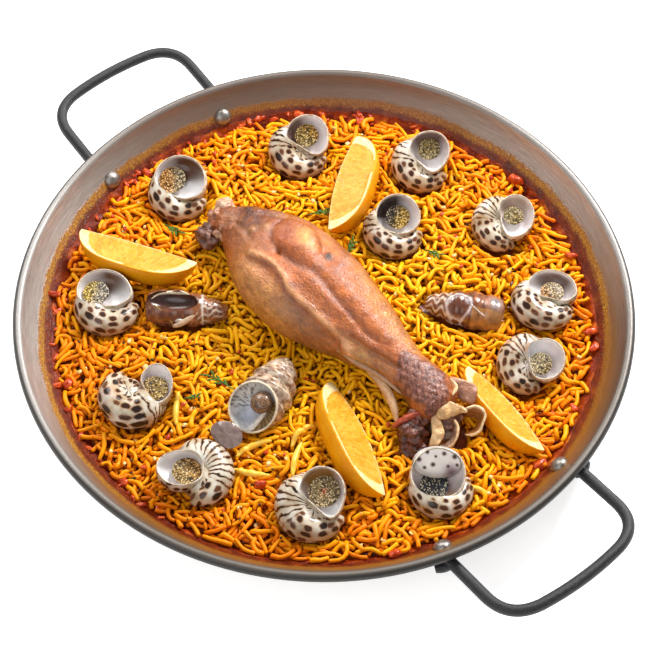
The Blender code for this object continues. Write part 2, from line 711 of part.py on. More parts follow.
clearScene()
paella = newCollection("paella")
cutters = newCollection("cutters", hidden=True)
drills = newCollection("rivet drills", hidden=True)
trims = newCollection("trims", hidden=True)
nests = newCollection("nests", hidden=True)
steel = newMaterial("pan")
blackPaint = newMaterial("handle")
bareSteel = newMaterial("rivet")
noodleYellow = newMaterial("noodles")
spotted = newMaterial("snail")
darkSpiral = newMaterial("dark snail")
lemonYellow = newMaterial("lemon")
meat = newMaterial("shank")
buildPan()
buildHandles()
buildRivets()
buildSnails()
buildTallSnail()
buildDarkSnails()
buildLemons()
buildShank()
buildBed()
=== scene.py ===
import math

import bmesh
import bpy
import numpy as np
from mathutils import Matrix, Vector
from mathutils.bvhtree import BVHTree


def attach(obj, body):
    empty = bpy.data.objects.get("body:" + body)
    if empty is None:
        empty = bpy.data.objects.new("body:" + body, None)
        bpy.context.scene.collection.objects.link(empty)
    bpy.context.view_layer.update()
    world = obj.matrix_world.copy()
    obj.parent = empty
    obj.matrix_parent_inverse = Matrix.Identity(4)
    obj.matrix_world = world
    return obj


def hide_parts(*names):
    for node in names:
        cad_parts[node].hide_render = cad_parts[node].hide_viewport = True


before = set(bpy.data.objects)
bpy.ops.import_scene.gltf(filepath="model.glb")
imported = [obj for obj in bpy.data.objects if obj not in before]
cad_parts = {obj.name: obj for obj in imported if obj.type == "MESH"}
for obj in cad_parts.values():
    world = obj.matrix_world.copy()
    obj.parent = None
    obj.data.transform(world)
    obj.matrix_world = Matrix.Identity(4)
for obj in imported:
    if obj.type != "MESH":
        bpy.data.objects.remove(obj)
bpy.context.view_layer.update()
mm = 0.001


# meshes and their paint

def meshOf(bm, name="made"):
    mesh = bpy.data.meshes.new(name)
    bm.to_mesh(mesh)
    bm.free()
    return mesh


def meshFromArrays(name, points, quads):
    # one mesh out of numpy arrays: points (n, 3) and quads (m, 4)
    mesh = bpy.data.meshes.new(name)
    mesh.vertices.add(len(points))
    mesh.vertices.foreach_set("co", np.ascontiguousarray(points, np.float32).ravel())
    mesh.loops.add(quads.size)
    mesh.loops.foreach_set("vertex_index", np.ascontiguousarray(quads, np.int32).ravel())
    mesh.polygons.add(len(quads))
    mesh.polygons.foreach_set("loop_start", np.arange(len(quads), dtype=np.int32) * 4)
    mesh.update(calc_edges=True)
    mesh.validate()
    return mesh


def meshPoints(mesh):
    values = np.empty(3 * len(mesh.vertices), np.float32)
    mesh.vertices.foreach_get("co", values)
    return values.reshape(-1, 3).astype(float)


def paintPoints(mesh, name, colours):
    # a colour of three values for each vertex
    layer = mesh.color_attributes.get(name) or mesh.color_attributes.new(name, "FLOAT_COLOR", "POINT")
    values = np.column_stack([colours, np.ones(len(colours))])
    layer.data.foreach_set("color", np.ascontiguousarray(values, np.float32).ravel())


def finishPiece(mesh, name, materials, replaced=None, sharpAngle=None):
    piece = bpy.data.objects.new(name, mesh)
    bpy.context.scene.collection.objects.link(piece)
    for material in materials:
        mesh.materials.append(material)
    mesh.shade_smooth()
    if sharpAngle:
        mesh.set_sharp_from_angle(angle=math.radians(sharpAngle))
    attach(piece, "root")
    if replaced:
        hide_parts(replaced)


def outwards(bm):
    bmesh.ops.recalc_face_normals(bm, faces=bm.faces[:])


def spunProfile(bm, profile, steps):
    # profile of (radius, height) points turned once about Z
    points = [bm.verts.new((radius, 0, height)) for radius, height in profile]
    edges = [bm.edges.new(pair) for pair in zip(points, points[1:])]
    bmesh.ops.spin(bm, geom=points + edges, cent=(0, 0, 0), axis=(0, 0, 1), dvec=(0, 0, 0),
                   angle=math.tau, steps=steps, use_merge=True, use_duplicate=False)
    bmesh.ops.remove_doubles(bm, verts=bm.verts[:], dist=0.01 * mm)
    outwards(bm)


def headed(degrees):
    return Matrix.Rotation(math.radians(degrees), 4, "Z")


def standing(x, y, z, heading):
    # place and heading on the table, in mm and degrees
    return Matrix.Translation(Vector((x, y, z)) * mm) @ headed(heading)


def circleOf(count):
    return np.arange(count) * math.tau / count


def smoothTable(table, count):
    # Catmull-Rom through the rows of a table
    rows = np.array(table, float)
    rows = np.vstack([2 * rows[0] - rows[1], rows, 2 * rows[-1] - rows[-2]])
    out = []
    for u in np.linspace(0, len(rows) - 3 - 1e-9, count):
        k = int(u)
        t = u - k
        a, b, c, d = rows[k:k + 4]
        square, cube = 2 * a - 5 * b + 4 * c - d, 3 * b - 3 * c + d - a
        out.append(0.5 * (2 * b + (c - a) * t + square * t * t + cube * t ** 3))
    return np.array(out)


def gridQuads(rows, columns, wrapRows=False):
    # quads over rings of points, each ring closed
    index = np.arange(rows * columns).reshape(rows, columns)
    index = np.hstack([index, index[:, :1]])
    if wrapRows:
        index = np.vstack([index, index[:1]])
    return np.stack([index[:-1, :-1], index[:-1, 1:], index[1:, 1:], index[1:, :-1]], axis=-1).reshape(-1, 4)


def tubeArrays(paths, radii, sides):
    # paths (n, rings, 3) and radii (n, rings): closed tubes as points and quads, with a folded cap at each end
    count, rings = radii.shape
    ahead = np.gradient(paths, axis=1)
    ahead /= np.linalg.norm(ahead, axis=2, keepdims=True) + 1e-12
    side = np.cross(ahead, (0.0, 0.0, 1.0))
    side /= np.linalg.norm(side, axis=2, keepdims=True) + 1e-9
    lift = np.cross(side, ahead)
    angle = circleOf(sides)[:, None]
    ring = side[:, :, None] * np.cos(angle) + lift[:, :, None] * np.sin(angle)
    points = paths[:, :, None] + ring * radii[:, :, None, None]
    caps = []
    for first, step in ((0, -1), ((rings - 1) * sides, 1)):
        for k in range(0, sides - 2, 2):
            caps.append([first + corner for corner in (0, k + 1, k + 2, (k + 3) % sides)[::step]])
    pattern = np.concatenate([gridQuads(rings, sides), np.array(caps)])
    quads = pattern[None] + (np.arange(count) * rings * sides)[:, None, None]
    return points.reshape(-1, 3), quads.reshape(-1, 4)


def ballPoints(rows, columns, start=0.0):
    # a unit ball in rings from pole to pole
    polar, around = np.linspace(start, math.pi - start, rows)[:, None], circleOf(columns)
    parts = (np.sin(polar) * np.cos(around), np.sin(polar) * np.sin(around), np.cos(polar) + 0 * around)
    return np.stack(parts, axis=-1).reshape(-1, 3)


def ringsAt(outline, profile, middle=(0, 0, 0)):
    # rings of points: the outline's (angle, reach) points at each (share, level) of the profile
    x, y, z = middle
    return [[(x + share * r * math.cos(a), y + share * r * math.sin(a), z + level) for a, r in outline]
            for share, level in profile]


def moved(points, matrix):
    matrix = np.array(matrix)
    return points @ matrix[:3, :3].T + matrix[:3, 3]


def pinchedEnds(points, rows, columns, share):
    # draws the first and last ring together, so that the skin closes
    grid = points.reshape(rows, columns, 3)
    for row in (0, -1):
        middle = grid[row].mean(axis=0)
        grid[row] = middle + (grid[row] - middle) * share
    return grid.reshape(-1, 3)


def waves(points, size, seed, count=14):
    # smooth lumpy values in about -1..1 at each point; size in the points' own unit
    random = np.random.default_rng(seed)
    total = np.zeros(len(points))
    for k in range(count):
        direction = random.normal(0, 1, 3)
        direction /= np.linalg.norm(direction)
        length = size * random.uniform(0.6, 1.8)
        total += np.sin(points @ direction * math.tau / length + random.uniform(0, math.tau))
    return total / math.sqrt(count / 2) / 1.6


def bell(away):
    # 1 where away is 0, falling smoothly to 0 beyond 1 or 2
    return np.exp(-away ** 2)


def plainPaint(points, colour):
    return np.tile(np.array(colour, float), (len(points), 1))


def blend(paint, share, colour):
    share = np.clip(share, 0, 1)[:, None]
    return paint * (1 - share) + np.array(colour) * share


class MeshParts:
    # gathers quads from several shapes, in mm, with a paint colour for each point

    def __init__(self):
        self.points, self.quads, self.paint, self.count = [], [], [], 0

    def add(self, points, quads, paint=(1, 1, 1)):
        self.points.append(points)
        self.quads.append(np.asarray(quads) + self.count)
        self.paint.append(np.broadcast_to(paint, (len(points), 3)))
        self.count += len(points)

    def finish(self, name):
        mesh = meshFromArrays(name, np.vstack(self.points) * mm, np.vstack(self.quads))
        bm = bmesh.new()
        bm.from_mesh(mesh)
        outwards(bm)
        bm.to_mesh(mesh)
        bm.free()
        paintPoints(mesh, "paint", np.vstack(self.paint))
        return mesh


# materials

class Finish:
    # a material, and the nodes that feed its shader

    def __init__(self, name, roughness=0.5, sockets=()):
        self.material = bpy.data.materials.new(name)
        self.material.use_nodes = True
        self.tree = self.material.node_tree
        self.shader = self.tree.nodes["Principled BSDF"]
        self.apply({"Roughness": roughness, **dict(sockets)})
        self.coords = self.scaled((1, 1, 1))

    def feed(self, socket, value):
        if isinstance(value, bpy.types.NodeSocket):
            self.tree.links.new(value, socket)
        elif socket.type == "RGBA":
            socket.default_value = (*value, 1)
        else:
            socket.default_value = value

    def apply(self, sockets):
        for name, value in sockets.items():
            self.feed(self.shader.inputs[name], value)
        return self.material

    def surface(self, colour, roughness, normal):
        return self.apply({"Base Color": colour, "Roughness": roughness, "Normal": normal})

    def node(self, kind, inputs=(), **settings):
        made = self.tree.nodes.new("ShaderNode" + kind)
        for name, value in settings.items():
            setattr(made, name, value)
        for name, value in dict(inputs).items():
            self.feed(made.inputs[name], value)
        return made.outputs

    def scaled(self, scale):
        place = self.node("TexCoord")["Object"]
        return self.node("Mapping", {"Vector": place, "Scale": scale})[0]

    def uv(self):
        return self.node("UVMap", uv_map="UVMap")[0]

    def attribute(self, name):
        return self.node("Attribute", attribute_name=name)["Color"]

    def noise(self, scale, detail=3, roughness=0.5, coords=None):
        inputs = {"Vector": coords or self.coords, "Scale": scale, "Detail": detail, "Roughness": roughness}
        return self.node("TexNoise", inputs)["Fac"]

    def cells(self, coords, scale, randomness, **settings):
        inputs = {"Vector": coords, "Scale": scale, "Randomness": randomness}
        return self.node("TexVoronoi", inputs, **settings)

    def ramp(self, factor, *stops):
        node = self.node("ValToRGB", {"Fac": factor})[0].node
        elements = node.color_ramp.elements
        while len(elements) < len(stops):
            elements.new(0.5)
        for element, (position, colour) in zip(elements, stops):
            element.position = position
            element.color = (*colour, 1) if isinstance(colour, tuple) else (colour, colour, colour, 1)
        return node.outputs["Color"]

    def mixed(self, factor, first, second, blend="MIX"):
        return self.node("Mix", {0: factor, 6: first, 7: second}, data_type="RGBA", blend_type=blend)[2]

    def maths(self, operation, first, second, clamp=False):
        return self.node("Math", {0: first, 1: second}, operation=operation, use_clamp=clamp)[0]

    def times(self, *values, clamp=False):
        # the product of two or more
        product = values[0]
        for value in values[1:]:
            product = self.maths("MULTIPLY", product, value, clamp and value is values[-1])
        return product

    def plus(self, first, second):
        return self.maths("ADD", first, second)

    def wavering(self, noise, depth):
        # noise as a shift to either side of zero
        return self.times(self.maths("SUBTRACT", noise, 0.5), depth)

    def spread(self, value, low, high, toLow=0.0, toHigh=1.0, kind="LINEAR"):
        inputs = {"Value": value, "From Min": low, "From Max": high, "To Min": toLow, "To Max": toHigh}
        return self.node("MapRange", inputs, interpolation_type=kind)[0]

    def soft(self, value, low, high, toLow=0.0, toHigh=1.0):
        return self.spread(value, low, high, toLow, toHigh, "SMOOTHSTEP")

    def channels(self, colour):
        return self.node("SeparateColor", {"Color": colour})

    def vector(self, operation, first, second=(0, 0, 0)):
        output = "Value" if operation in ("LENGTH", "DOT_PRODUCT") else "Vector"
        inputs = {0: first, "Scale" if operation == "SCALE" else 1: second}
        return self.node("VectorMath", inputs, operation=operation)[output]

    def fromAxis(self):
        # distance from the pan's axis, and the direction away from it
        flat = self.vector("MULTIPLY", self.coords, (1, 1, 0))
        return self.vector("LENGTH", flat), self.vector("NORMALIZE", flat)

    def ringCoords(self, around, across):
        # runs round the pan: stretched along the rim, fine across it, with no seam
        reach, unit = self.fromAxis()
        lifted = self.node("CombineXYZ", {"Z": self.times(reach, across)})[0]
        return self.vector("ADD", self.vector("SCALE", unit, around), lifted)

    def bump(self, height, strength, distance, under=None):
        inputs = {"Height": height, "Strength": strength, "Distance": distance}
        return self.node("Bump", {**inputs, "Normal": under} if under else inputs)[0]


def glow(weight, radius, scale):
    # light let through under the surface
    return {"Subsurface Weight": weight, "Subsurface Radius": radius, "Subsurface Scale": scale}


def coat(level, weight, roughness):
    return {"Specular IOR Level": level, "Coat Weight": weight, "Coat Roughness": roughness}


# camera

view = {"azimuth": 52.53, "elevation": 54.80, "distance": 1.2346, "target": (0, 0, 0.041),
        "lens": 106.055, "shiftX": 0.00146, "shiftY": -0.03535}


def hold(name, data):
    holder = bpy.data.objects.new(name, data)
    bpy.context.scene.collection.objects.link(holder)
    return holder


def makeCamera():
    azimuth, elevation = math.radians(view["azimuth"]), math.radians(view["elevation"])
    right = Vector((math.cos(azimuth), math.sin(azimuth), 0))
    front = Vector((math.sin(azimuth), -math.cos(azimuth), 0))
    back = front * math.cos(elevation) + Vector((0, 0, math.sin(elevation)))
    camera = bpy.data.cameras.new("camera")
    camera.lens, camera.sensor_width = view["lens"], 36
    camera.shift_x, camera.shift_y = view["shiftX"], view["shiftY"]
    camera.clip_start, camera.clip_end = 0.05, 20
    holder = hold("camera", camera)
    place = Matrix.Translation(Vector(view["target"]) + back * view["distance"])
    holder.matrix_world = place @ Matrix((right, back.cross(right), back)).transposed().to_4x4()
    bpy.context.scene.camera = holder


makeCamera()
print("camera placed")


# floor and light

studio = {"worldStrength": 0.38, "floorSize": 3.0, "floorGlow": 0.6, "aim": (0, 0, 0.03)}
# name: place, size, strength
lamps = {
    "key": ((-0.25, 1.0, 1.0), 0.45, 27),
    "fill": ((0.4, -1.0, 1.1), 1.1, 6),
    "rear": ((-1.0, 0.2, 0.9), 0.7, 9),
}


def floorMaterial():
    paper = Finish("floorPaper", 0.9, {"Emission Color": (1, 1, 1), "Emission Strength": studio["floorGlow"]})
    grain = paper.noise(90)
    return paper.apply({"Base Color": paper.ramp(grain, (0.3, 0.93), (0.7, 0.96)),
                        "Normal": paper.bump(grain, 0.1, 0.0005)})


def makeStudio():
    world = bpy.data.worlds.new("studio")
    bpy.context.scene.world = world
    world.use_nodes = True
    background = world.node_tree.nodes["Background"]
    background.inputs["Color"].default_value = (1, 1, 1, 1)
    background.inputs["Strength"].default_value = studio["worldStrength"]
    bm = bmesh.new()
    bmesh.ops.create_grid(bm, x_segments=1, y_segments=1, size=studio["floorSize"])
    mesh = meshOf(bm, "floor")
    mesh.materials.append(floorMaterial())
    floor = hold("floor", mesh)
    for name, (place, size, strength) in lamps.items():
        lamp = bpy.data.lights.new(name, "AREA")
        lamp.shape = "DISK"
        lamp.size = size
        lamp.energy = strength
        holder = hold(name, lamp)
        holder.location = place
        holder.rotation_euler = (Vector(studio["aim"]) - Vector(place)).to_track_quat("-Z", "Y").to_euler()
    bpy.context.scene.view_settings.view_transform = "Standard"


makeStudio()
print("studio lit")


# pan

pan = {"height": 44, "rimRadius": 200, "beadRadius": 3.2, "sheet": 1.5, "wallTop": (194.1, 40.3),
       "wallTopSlope": 58, "knuckleSlope": 36, "wallArc": 116, "steps": 180}
# where the bare steel and the dark sauce begin, how far the golden haze reaches (mm)
stain = {"steelFrom": 185.6, "sauceFrom": 182.3, "waver": 5.6, "grain": 5.0, "tintTo": 195}


def wallPoint(slope, offset=0.0):
    # (radius, height) in metres of the inner face where it has this slope, moved outwards by the offset in mm
    top, knuckle = math.radians(pan["wallTopSlope"]), math.radians(pan["knuckleSlope"])
    arc = pan["wallArc"]
    knuckleRadius = pan["wallTop"][0] - arc * (math.sin(top) - math.sin(knuckle))
    knuckleHeight = pan["wallTop"][1] - arc * (math.cos(knuckle) - math.cos(top))
    if slope >= knuckle:
        radius = knuckleRadius + arc * (math.sin(slope) - math.sin(knuckle))
        height = knuckleHeight + arc * (math.cos(knuckle) - math.cos(slope))
    else:
        lowArc = (knuckleHeight - pan["sheet"]) / (1 - math.cos(knuckle))
        radius = knuckleRadius - lowArc * (math.sin(knuckle) - math.sin(slope))
        height = pan["sheet"] + lowArc * (1 - math.cos(slope))
    return (radius + offset * math.sin(slope)) * mm, (height - offset * math.cos(slope)) * mm


def slopeAt(height):
    rise = pan["wallTop"][1] - height
    return math.acos(math.cos(math.radians(pan["wallTopSlope"])) + rise / pan["wallArc"])


def wallLevel(radius):
    # height of the pan's inner face at each radius of an array, in metres
    wall = np.array([wallPoint(slope) for slope in np.radians(np.linspace(0, 60, 121))])
    return np.interp(radius, wall[:, 0], wall[:, 1])


def wallFrame(angle, height):
    # on the wall's inner face: X along the rim, Y up the slope, Z out through the wall
    slope = slopeAt(height)
    radius, level = wallPoint(slope)
    out = Vector((math.cos(angle), math.sin(angle), 0))
    along = Vector((-math.sin(angle), math.cos(angle), 0))
    uphill = out * math.cos(slope) + Vector((0, 0, math.sin(slope)))
    turn = Matrix((along, uphill, along.cross(uphill))).transposed().to_4x4()
    return Matrix.Translation(out * radius + Vector((0, 0, level))) @ turn


def panMaterial():
    steel = Finish("brushedSteel", 0.34)
    reach, unit = steel.fromAxis()
    nearSide = steel.vector("DOT_PRODUCT", unit, (0.96, -0.28, 0))
    farSide = steel.vector("DOT_PRODUCT", unit, (-0.88, 0.47, 0))
    streaks = steel.noise(1.0, 4, 0.6, steel.ringCoords(14, 2600))
    scratches = steel.noise(1.0, 3, 0.7, steel.ringCoords(90, 4200))
    metal = steel.ramp(streaks, (0.3, (0.36, 0.33, 0.305)), (0.5, (0.50, 0.47, 0.44)),
                       (0.72, (0.66, 0.63, 0.60)))
    beadEdge = steel.soft(reach, 196.8 * mm, 198.6 * mm, 0, 0.96)
    # a random tone and fine pale specks, then painted shade and dark reflections: darker on the far side and the
    # near side, over the bead from its inner side, and darkest along the bead's outer edge
    for share, colour in (
            (steel.spread(steel.noise(14, 4, 0.6), 0.35, 0.7, 0, 0.3), (0.40, 0.365, 0.335)),
            (steel.spread(steel.noise(900, 2), 0.62, 0.72, 0, 0.5), (0.74, 0.72, 0.70)),
            (steel.soft(farSide, 0.45, 1.0, 0, 0.85), (0.17, 0.115, 0.085)),
            (steel.soft(nearSide, -0.05, 0.7, 0, 0.92), (0.115, 0.085, 0.062)),
            (steel.soft(reach, 193.8 * mm, 195.2 * mm, 0, 0.55), (0.15, 0.135, 0.12)),
            (steel.times(beadEdge, steel.spread(nearSide, 0.3, 0.8, 0.9, 1)), (0.045, 0.040, 0.036))):
        metal = steel.mixed(share, metal, colour)
    # cooking stain: golden haze, a thin grainy ochre line, then dark red sauce nearer the noodles
    grains = steel.noise(700, 3, 0.7)
    edge = steel.plus(reach, steel.wavering(steel.noise(32, 5, 0.65), stain["waver"] * mm))
    edge = steel.plus(edge, steel.wavering(grains, stain["grain"] * mm))
    inside = steel.channels(steel.attribute("inner"))[0]
    haze = steel.soft(reach, stain["steelFrom"] * mm, stain["tintTo"] * mm, 1, 0)
    haze = steel.times(haze, inside, steel.spread(nearSide, -0.2, 0.5, 0.12, 1.0))
    film = steel.soft(edge, (stain["steelFrom"] - 0.8) * mm, (stain["steelFrom"] + 0.8) * mm, 1, 0)
    film = steel.times(film, steel.spread(grains, 0.3, 0.5, 0.80, 1), inside, clamp=True)
    ochre = steel.ramp(grains, (0.3, (0.16, 0.045, 0.004)), (0.5, (0.36, 0.145, 0.012)),
                       (0.72, (0.62, 0.36, 0.055)))
    # the ochre is darker on the near side, where the wall has no ochre line, and darker on the far side as
    # painted shade
    ochre = steel.mixed(steel.soft(nearSide, 0.2, 0.6, 0, 0.8), ochre, (0.20, 0.072, 0.008))
    ochre = steel.mixed(steel.soft(farSide, 0.6, 0.95, 0, 0.55), ochre, (0.22, 0.075, 0.008))
    sauce = steel.soft(edge, (stain["sauceFrom"] - 1.2) * mm, (stain["sauceFrom"] + 1.0) * mm, 1, 0)
    dark = steel.ramp(steel.noise(130, 4, 0.6), (0.3, (0.07, 0.006, 0.001)), (0.55, (0.16, 0.018, 0.001)),
                      (0.8, (0.34, 0.08, 0.006)))
    colour = steel.mixed(haze, metal, (0.27, 0.125, 0.030))
    colour = steel.mixed(film, colour, steel.mixed(sauce, ochre, dark))
    steel.apply({"Metallic": steel.times(steel.maths("SUBTRACT", 1.0, film, clamp=True), 0.5)})
    relief = steel.bump(scratches, 0.25, 0.00015, steel.bump(streaks, 0.25, 0.0002))
    relief = steel.bump(steel.times(grains, film), 0.5, 0.0008, relief)
    rough = steel.mixed(film, steel.spread(scratches, 0.3, 0.7, 0.36, 0.54), (0.33, 0.33, 0.33))
    return steel.surface(colour, rough, relief)


def makePan():
    inner = [wallPoint(math.radians(slope)) for slope in (*range(0, 36, 6), *range(36, 58, 3))]
    slopes = (*range(54, 41, -4), 39, *range(36, -1, -6))
    outer = [wallPoint(math.radians(slope), pan["sheet"]) for slope in slopes]
    reach, level = pan["rimRadius"] - pan["beadRadius"], pan["height"] - pan["beadRadius"]
    bead = [((reach + pan["beadRadius"] * math.cos(angle)) * mm,
             (level + pan["beadRadius"] * math.sin(angle)) * mm)
            for angle in (math.radians(degrees) for degrees in range(165, -121, -19))]
    bm = bmesh.new()
    spunProfile(bm, [(0, pan["sheet"] * mm), *inner, *bead, *outer, (0, 0)], pan["steps"])
    mesh = meshOf(bm, "pan_body")
    points = meshPoints(mesh)
    height, face = points[:, 2], wallLevel(np.hypot(points[:, 0], points[:, 1]))
    isInner = ((height > face - 0.8 * mm) & (height > 0.8 * mm)).astype(float)
    paintPoints(mesh, "inner", np.column_stack([isInner] * 3))
    finishPiece(mesh, "pan_body", [panMaterial()], "pan")


makePan()
print("pan made")


# handles and rivets (mm, degrees); the rise is a slope

handle = {"rod": 3.7, "reach": 249.1, "bow": 6.4, "legOffset": 51.4, "cornerCut": 20.7,
          "rootX": 184, "rootZ": 31.4,
          "rise": 0.14, "footWidth": 19, "footLength": 21, "footDepth": 3.7, "footCorner": 7.5, "footEdge": 0.9,
          "lug": ((190.5, 48, 30), (190.5, 52, 29.6), (189.5, 56, 29), (187.5, 60.5, 28.4)), "lugRadius": 3.4,
          "sides": 20}
rivet = {"angle": math.radians(14.7), "height": 26, "head": 6.2, "dome": 4.2, "shank": 2.5, "tail": 1.8}
footTop = pan["sheet"] + handle["footDepth"] - 0.2


def paintMaterial():
    black = Finish("blackPaint", 0.5, {"Specular IOR Level": 0.45})
    grain = black.noise(900, 4, 0.7)
    worn = black.ramp(grain, (0.35, (0.008, 0.008, 0.009)), (0.6, (0.022, 0.022, 0.024)),
                      (0.78, (0.07, 0.07, 0.072)))
    chips = black.spread(black.noise(260, 3, 0.6), 0.66, 0.74, 0, 0.35)
    return black.surface(black.mixed(chips, worn, (0.12, 0.12, 0.12)),
                         black.spread(grain, 0.3, 0.7, 0.34, 0.62), black.bump(grain, 0.55, 0.0006))


def rodPath():
    cornerX = handle["reach"] - handle["bow"]
    bow = handle["bow"] / handle["legOffset"] ** 2
    endY = handle["legOffset"] - handle["cornerCut"]
    start = Vector((cornerX - handle["cornerCut"], handle["legOffset"]))
    corner = Vector((cornerX, handle["legOffset"]))
    end = Vector((handle["reach"] - bow * endY ** 2, endY))
    half = [Vector((handle["rootX"] + 40 * t, handle["legOffset"])) for t in (0.02, 0.35, 0.7)]
    for t in (step / 12 for step in range(13)):
        half.append((1 - t) ** 2 * start + 2 * t * (1 - t) * corner + t ** 2 * end)
    for step in range(1, 7):
        y = endY * (1 - step / 7)
        half.append(Vector((handle["reach"] - bow * y ** 2, y)))
    flat = half + [Vector((handle["reach"], 0))] + [Vector((p.x, -p.y)) for p in reversed(half)]
    return np.array([(p.x, p.y, handle["rootZ"] + handle["rise"] * (p.x - handle["rootX"])) for p in flat]) * mm


def footMesh():
    # the flattened foot that the rivet holds, with round corners
    bm = bmesh.new()
    bmesh.ops.create_cube(bm, size=1)
    size = Matrix.Diagonal([handle[side] * mm for side in ("footWidth", "footLength", "footDepth")]).to_4x4()
    place = Matrix.Translation((0, 1.5 * mm, (footTop - handle["footDepth"] / 2) * mm))
    bmesh.ops.transform(bm, verts=bm.verts[:], matrix=place @ size)
    for isUpright, offset, segments in ((True, handle["footCorner"], 6), (False, handle["footEdge"], 3)):
        edges = [e for e in bm.edges if (abs((e.verts[0].co - e.verts[1].co).z) > 1 * mm) == isUpright]
        bmesh.ops.bevel(bm, geom=edges, offset=offset * mm, segments=segments, profile=0.5,
                        affect="EDGES", material=-1)
    return meshOf(bm)


def makeHandles(material):
    path = rodPath()
    radii = np.full(len(path), handle["rod"] * mm)
    for number, half in ((1, 0), (2, math.pi)):
        bm = bmesh.new()
        bm.from_mesh(meshFromArrays("rod", *tubeArrays(path[None], radii[None], handle["sides"])))
        for sign in (1, -1):
            # the foot's rounded end, which shows under the rim
            lug = smoothTable(handle["lug"], 12) * np.array((1, sign, 1)) * mm
            width = np.sin(np.linspace(0.35, math.pi - 0.35, 12)) ** 0.4 * handle["lugRadius"] * mm
            bm.from_mesh(meshFromArrays("lug", *tubeArrays(lug[None], width[None], 14)))
            foot = footMesh()
            foot.transform(wallFrame(sign * rivet["angle"], rivet["height"]))
            bm.from_mesh(foot)
        bmesh.ops.rotate(bm, verts=bm.verts[:], matrix=Matrix.Rotation(half, 3, "Z"), cent=(0, 0, 0))
        outwards(bm)
        finishPiece(meshOf(bm), f"rod_handle_{number}", [material], f"handle_{number}", 50)


def rivetMaterial():
    steel = Finish("domedSteel", 0.34, {"Metallic": 0.9})
    spots = steel.noise(500, 3, 0.6)
    colour = steel.ramp(spots, (0.3, (0.20, 0.175, 0.155)), (0.6, (0.32, 0.295, 0.27)),
                        (0.8, (0.48, 0.46, 0.44)))
    return steel.surface(colour, steel.spread(spots, 0.3, 0.7, 0.34, 0.5), steel.bump(spots, 0.3, 0.0003))


def makeRivets(material):
    head, dome, shank = rivet["head"], rivet["dome"], rivet["shank"]
    tail = [(radius, footTop + share * rivet["tail"])
            for radius, share in ((0, 1), (1.6, 0.95), (2.9, 0.7), (3.8, 0.3), (head, 0))]
    cap = [(head * math.cos(a), -dome * math.sin(a)) for a in (0, 0.25, 0.5, 0.75, 1.0, 1.25, 1.45)]
    profile = [*tail, (shank, footTop), (shank, 0), *cap, (0, -dome)]
    angles = [side + sign * rivet["angle"] for side in (0, math.pi) for sign in (1, -1)]
    for number, angle in enumerate(angles, 1):
        bm = bmesh.new()
        spunProfile(bm, [(radius * mm, height * mm) for radius, height in profile], 28)
        bmesh.ops.transform(bm, verts=bm.verts[:], matrix=wallFrame(angle, rivet["height"]))
        finishPiece(meshOf(bm), f"rivet_dome_{number}", [material], f"rivet_{number}", 50)


makeHandles(paintMaterial())
makeRivets(rivetMaterial())
print("handles and rivets made")


# noodles

bed = {"edge": 17.5, "crown": 4.5, "ripple": 1.1, "sink": 6.0, "reach": 178.0}
strands = {"seed": 11, "count": 5600, "drops": 9500, "tries": 9, "length": (8, 24), "radius": (1.12, 1.62),
           "rings": 8, "sides": 6, "share": 2100, "limit": 3.0, "wallLimit": 1.8, "sag": 0.9, "wallGap": 1.7,
           "bentShare": 0.36, "bend": (1.9, 0.6), "sway": 0.24}
grid = {"size": 190, "toppingReach": 180, "rayFrom": 2, "rayLength": 100}
toppings = sorted(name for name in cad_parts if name.startswith(("snail", "lemon")) or name == "shank")


def bedHeight(x, y):
    # top of the noodles, in metres; x and y may be arrays
    reach = np.hypot(x, y) / (bed["reach"] * mm)
    crown = bed["crown"] * (1 - reach ** 4)
    ripple = np.sin(x / 0.011 + 1.3) * np.cos(y / 0.013) + np.sin((x + 2 * y) / 0.019)
    return (bed["edge"] + crown + bed["ripple"] * ripple * np.minimum(1, 4 * np.maximum(0, 1 - reach))) * mm


def undersideMap(size):
    # for each square millimetre, how high the lowest topping above the bed is
    points, faces = [], []
    for name in toppings:
        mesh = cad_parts[name].data
        start = len(points)
        points.extend(vertex.co[:] for vertex in mesh.vertices)
        faces.extend([index + start for index in polygon.vertices] for polygon in mesh.polygons)
    tree = BVHTree.FromPolygons(points, faces)
    ceiling = np.full((2 * size, 2 * size), 1.0)
    for i in range(0, 2 * size, 2):
        for j in range(0, 2 * size, 2):
            x, y = (i + 1 - size) * mm, (j + 1 - size) * mm
            if x * x + y * y < (grid["toppingReach"] * mm) ** 2:
                start = Vector((x, y, grid["rayFrom"] * mm))
                hit = tree.ray_cast(start, Vector((0, 0, 1)), grid["rayLength"] * mm)[0]
                if hit:
                    ceiling[i:i + 2, j:j + 2] = hit.z
    # keep the noodles beside a topping low as well
    for step in range(4):
        for axis in (0, 1):
            beside = np.minimum(np.roll(ceiling, 1, axis), np.roll(ceiling, -1, axis)) + 0.0005
            ceiling = np.minimum(ceiling, beside)
    return ceiling


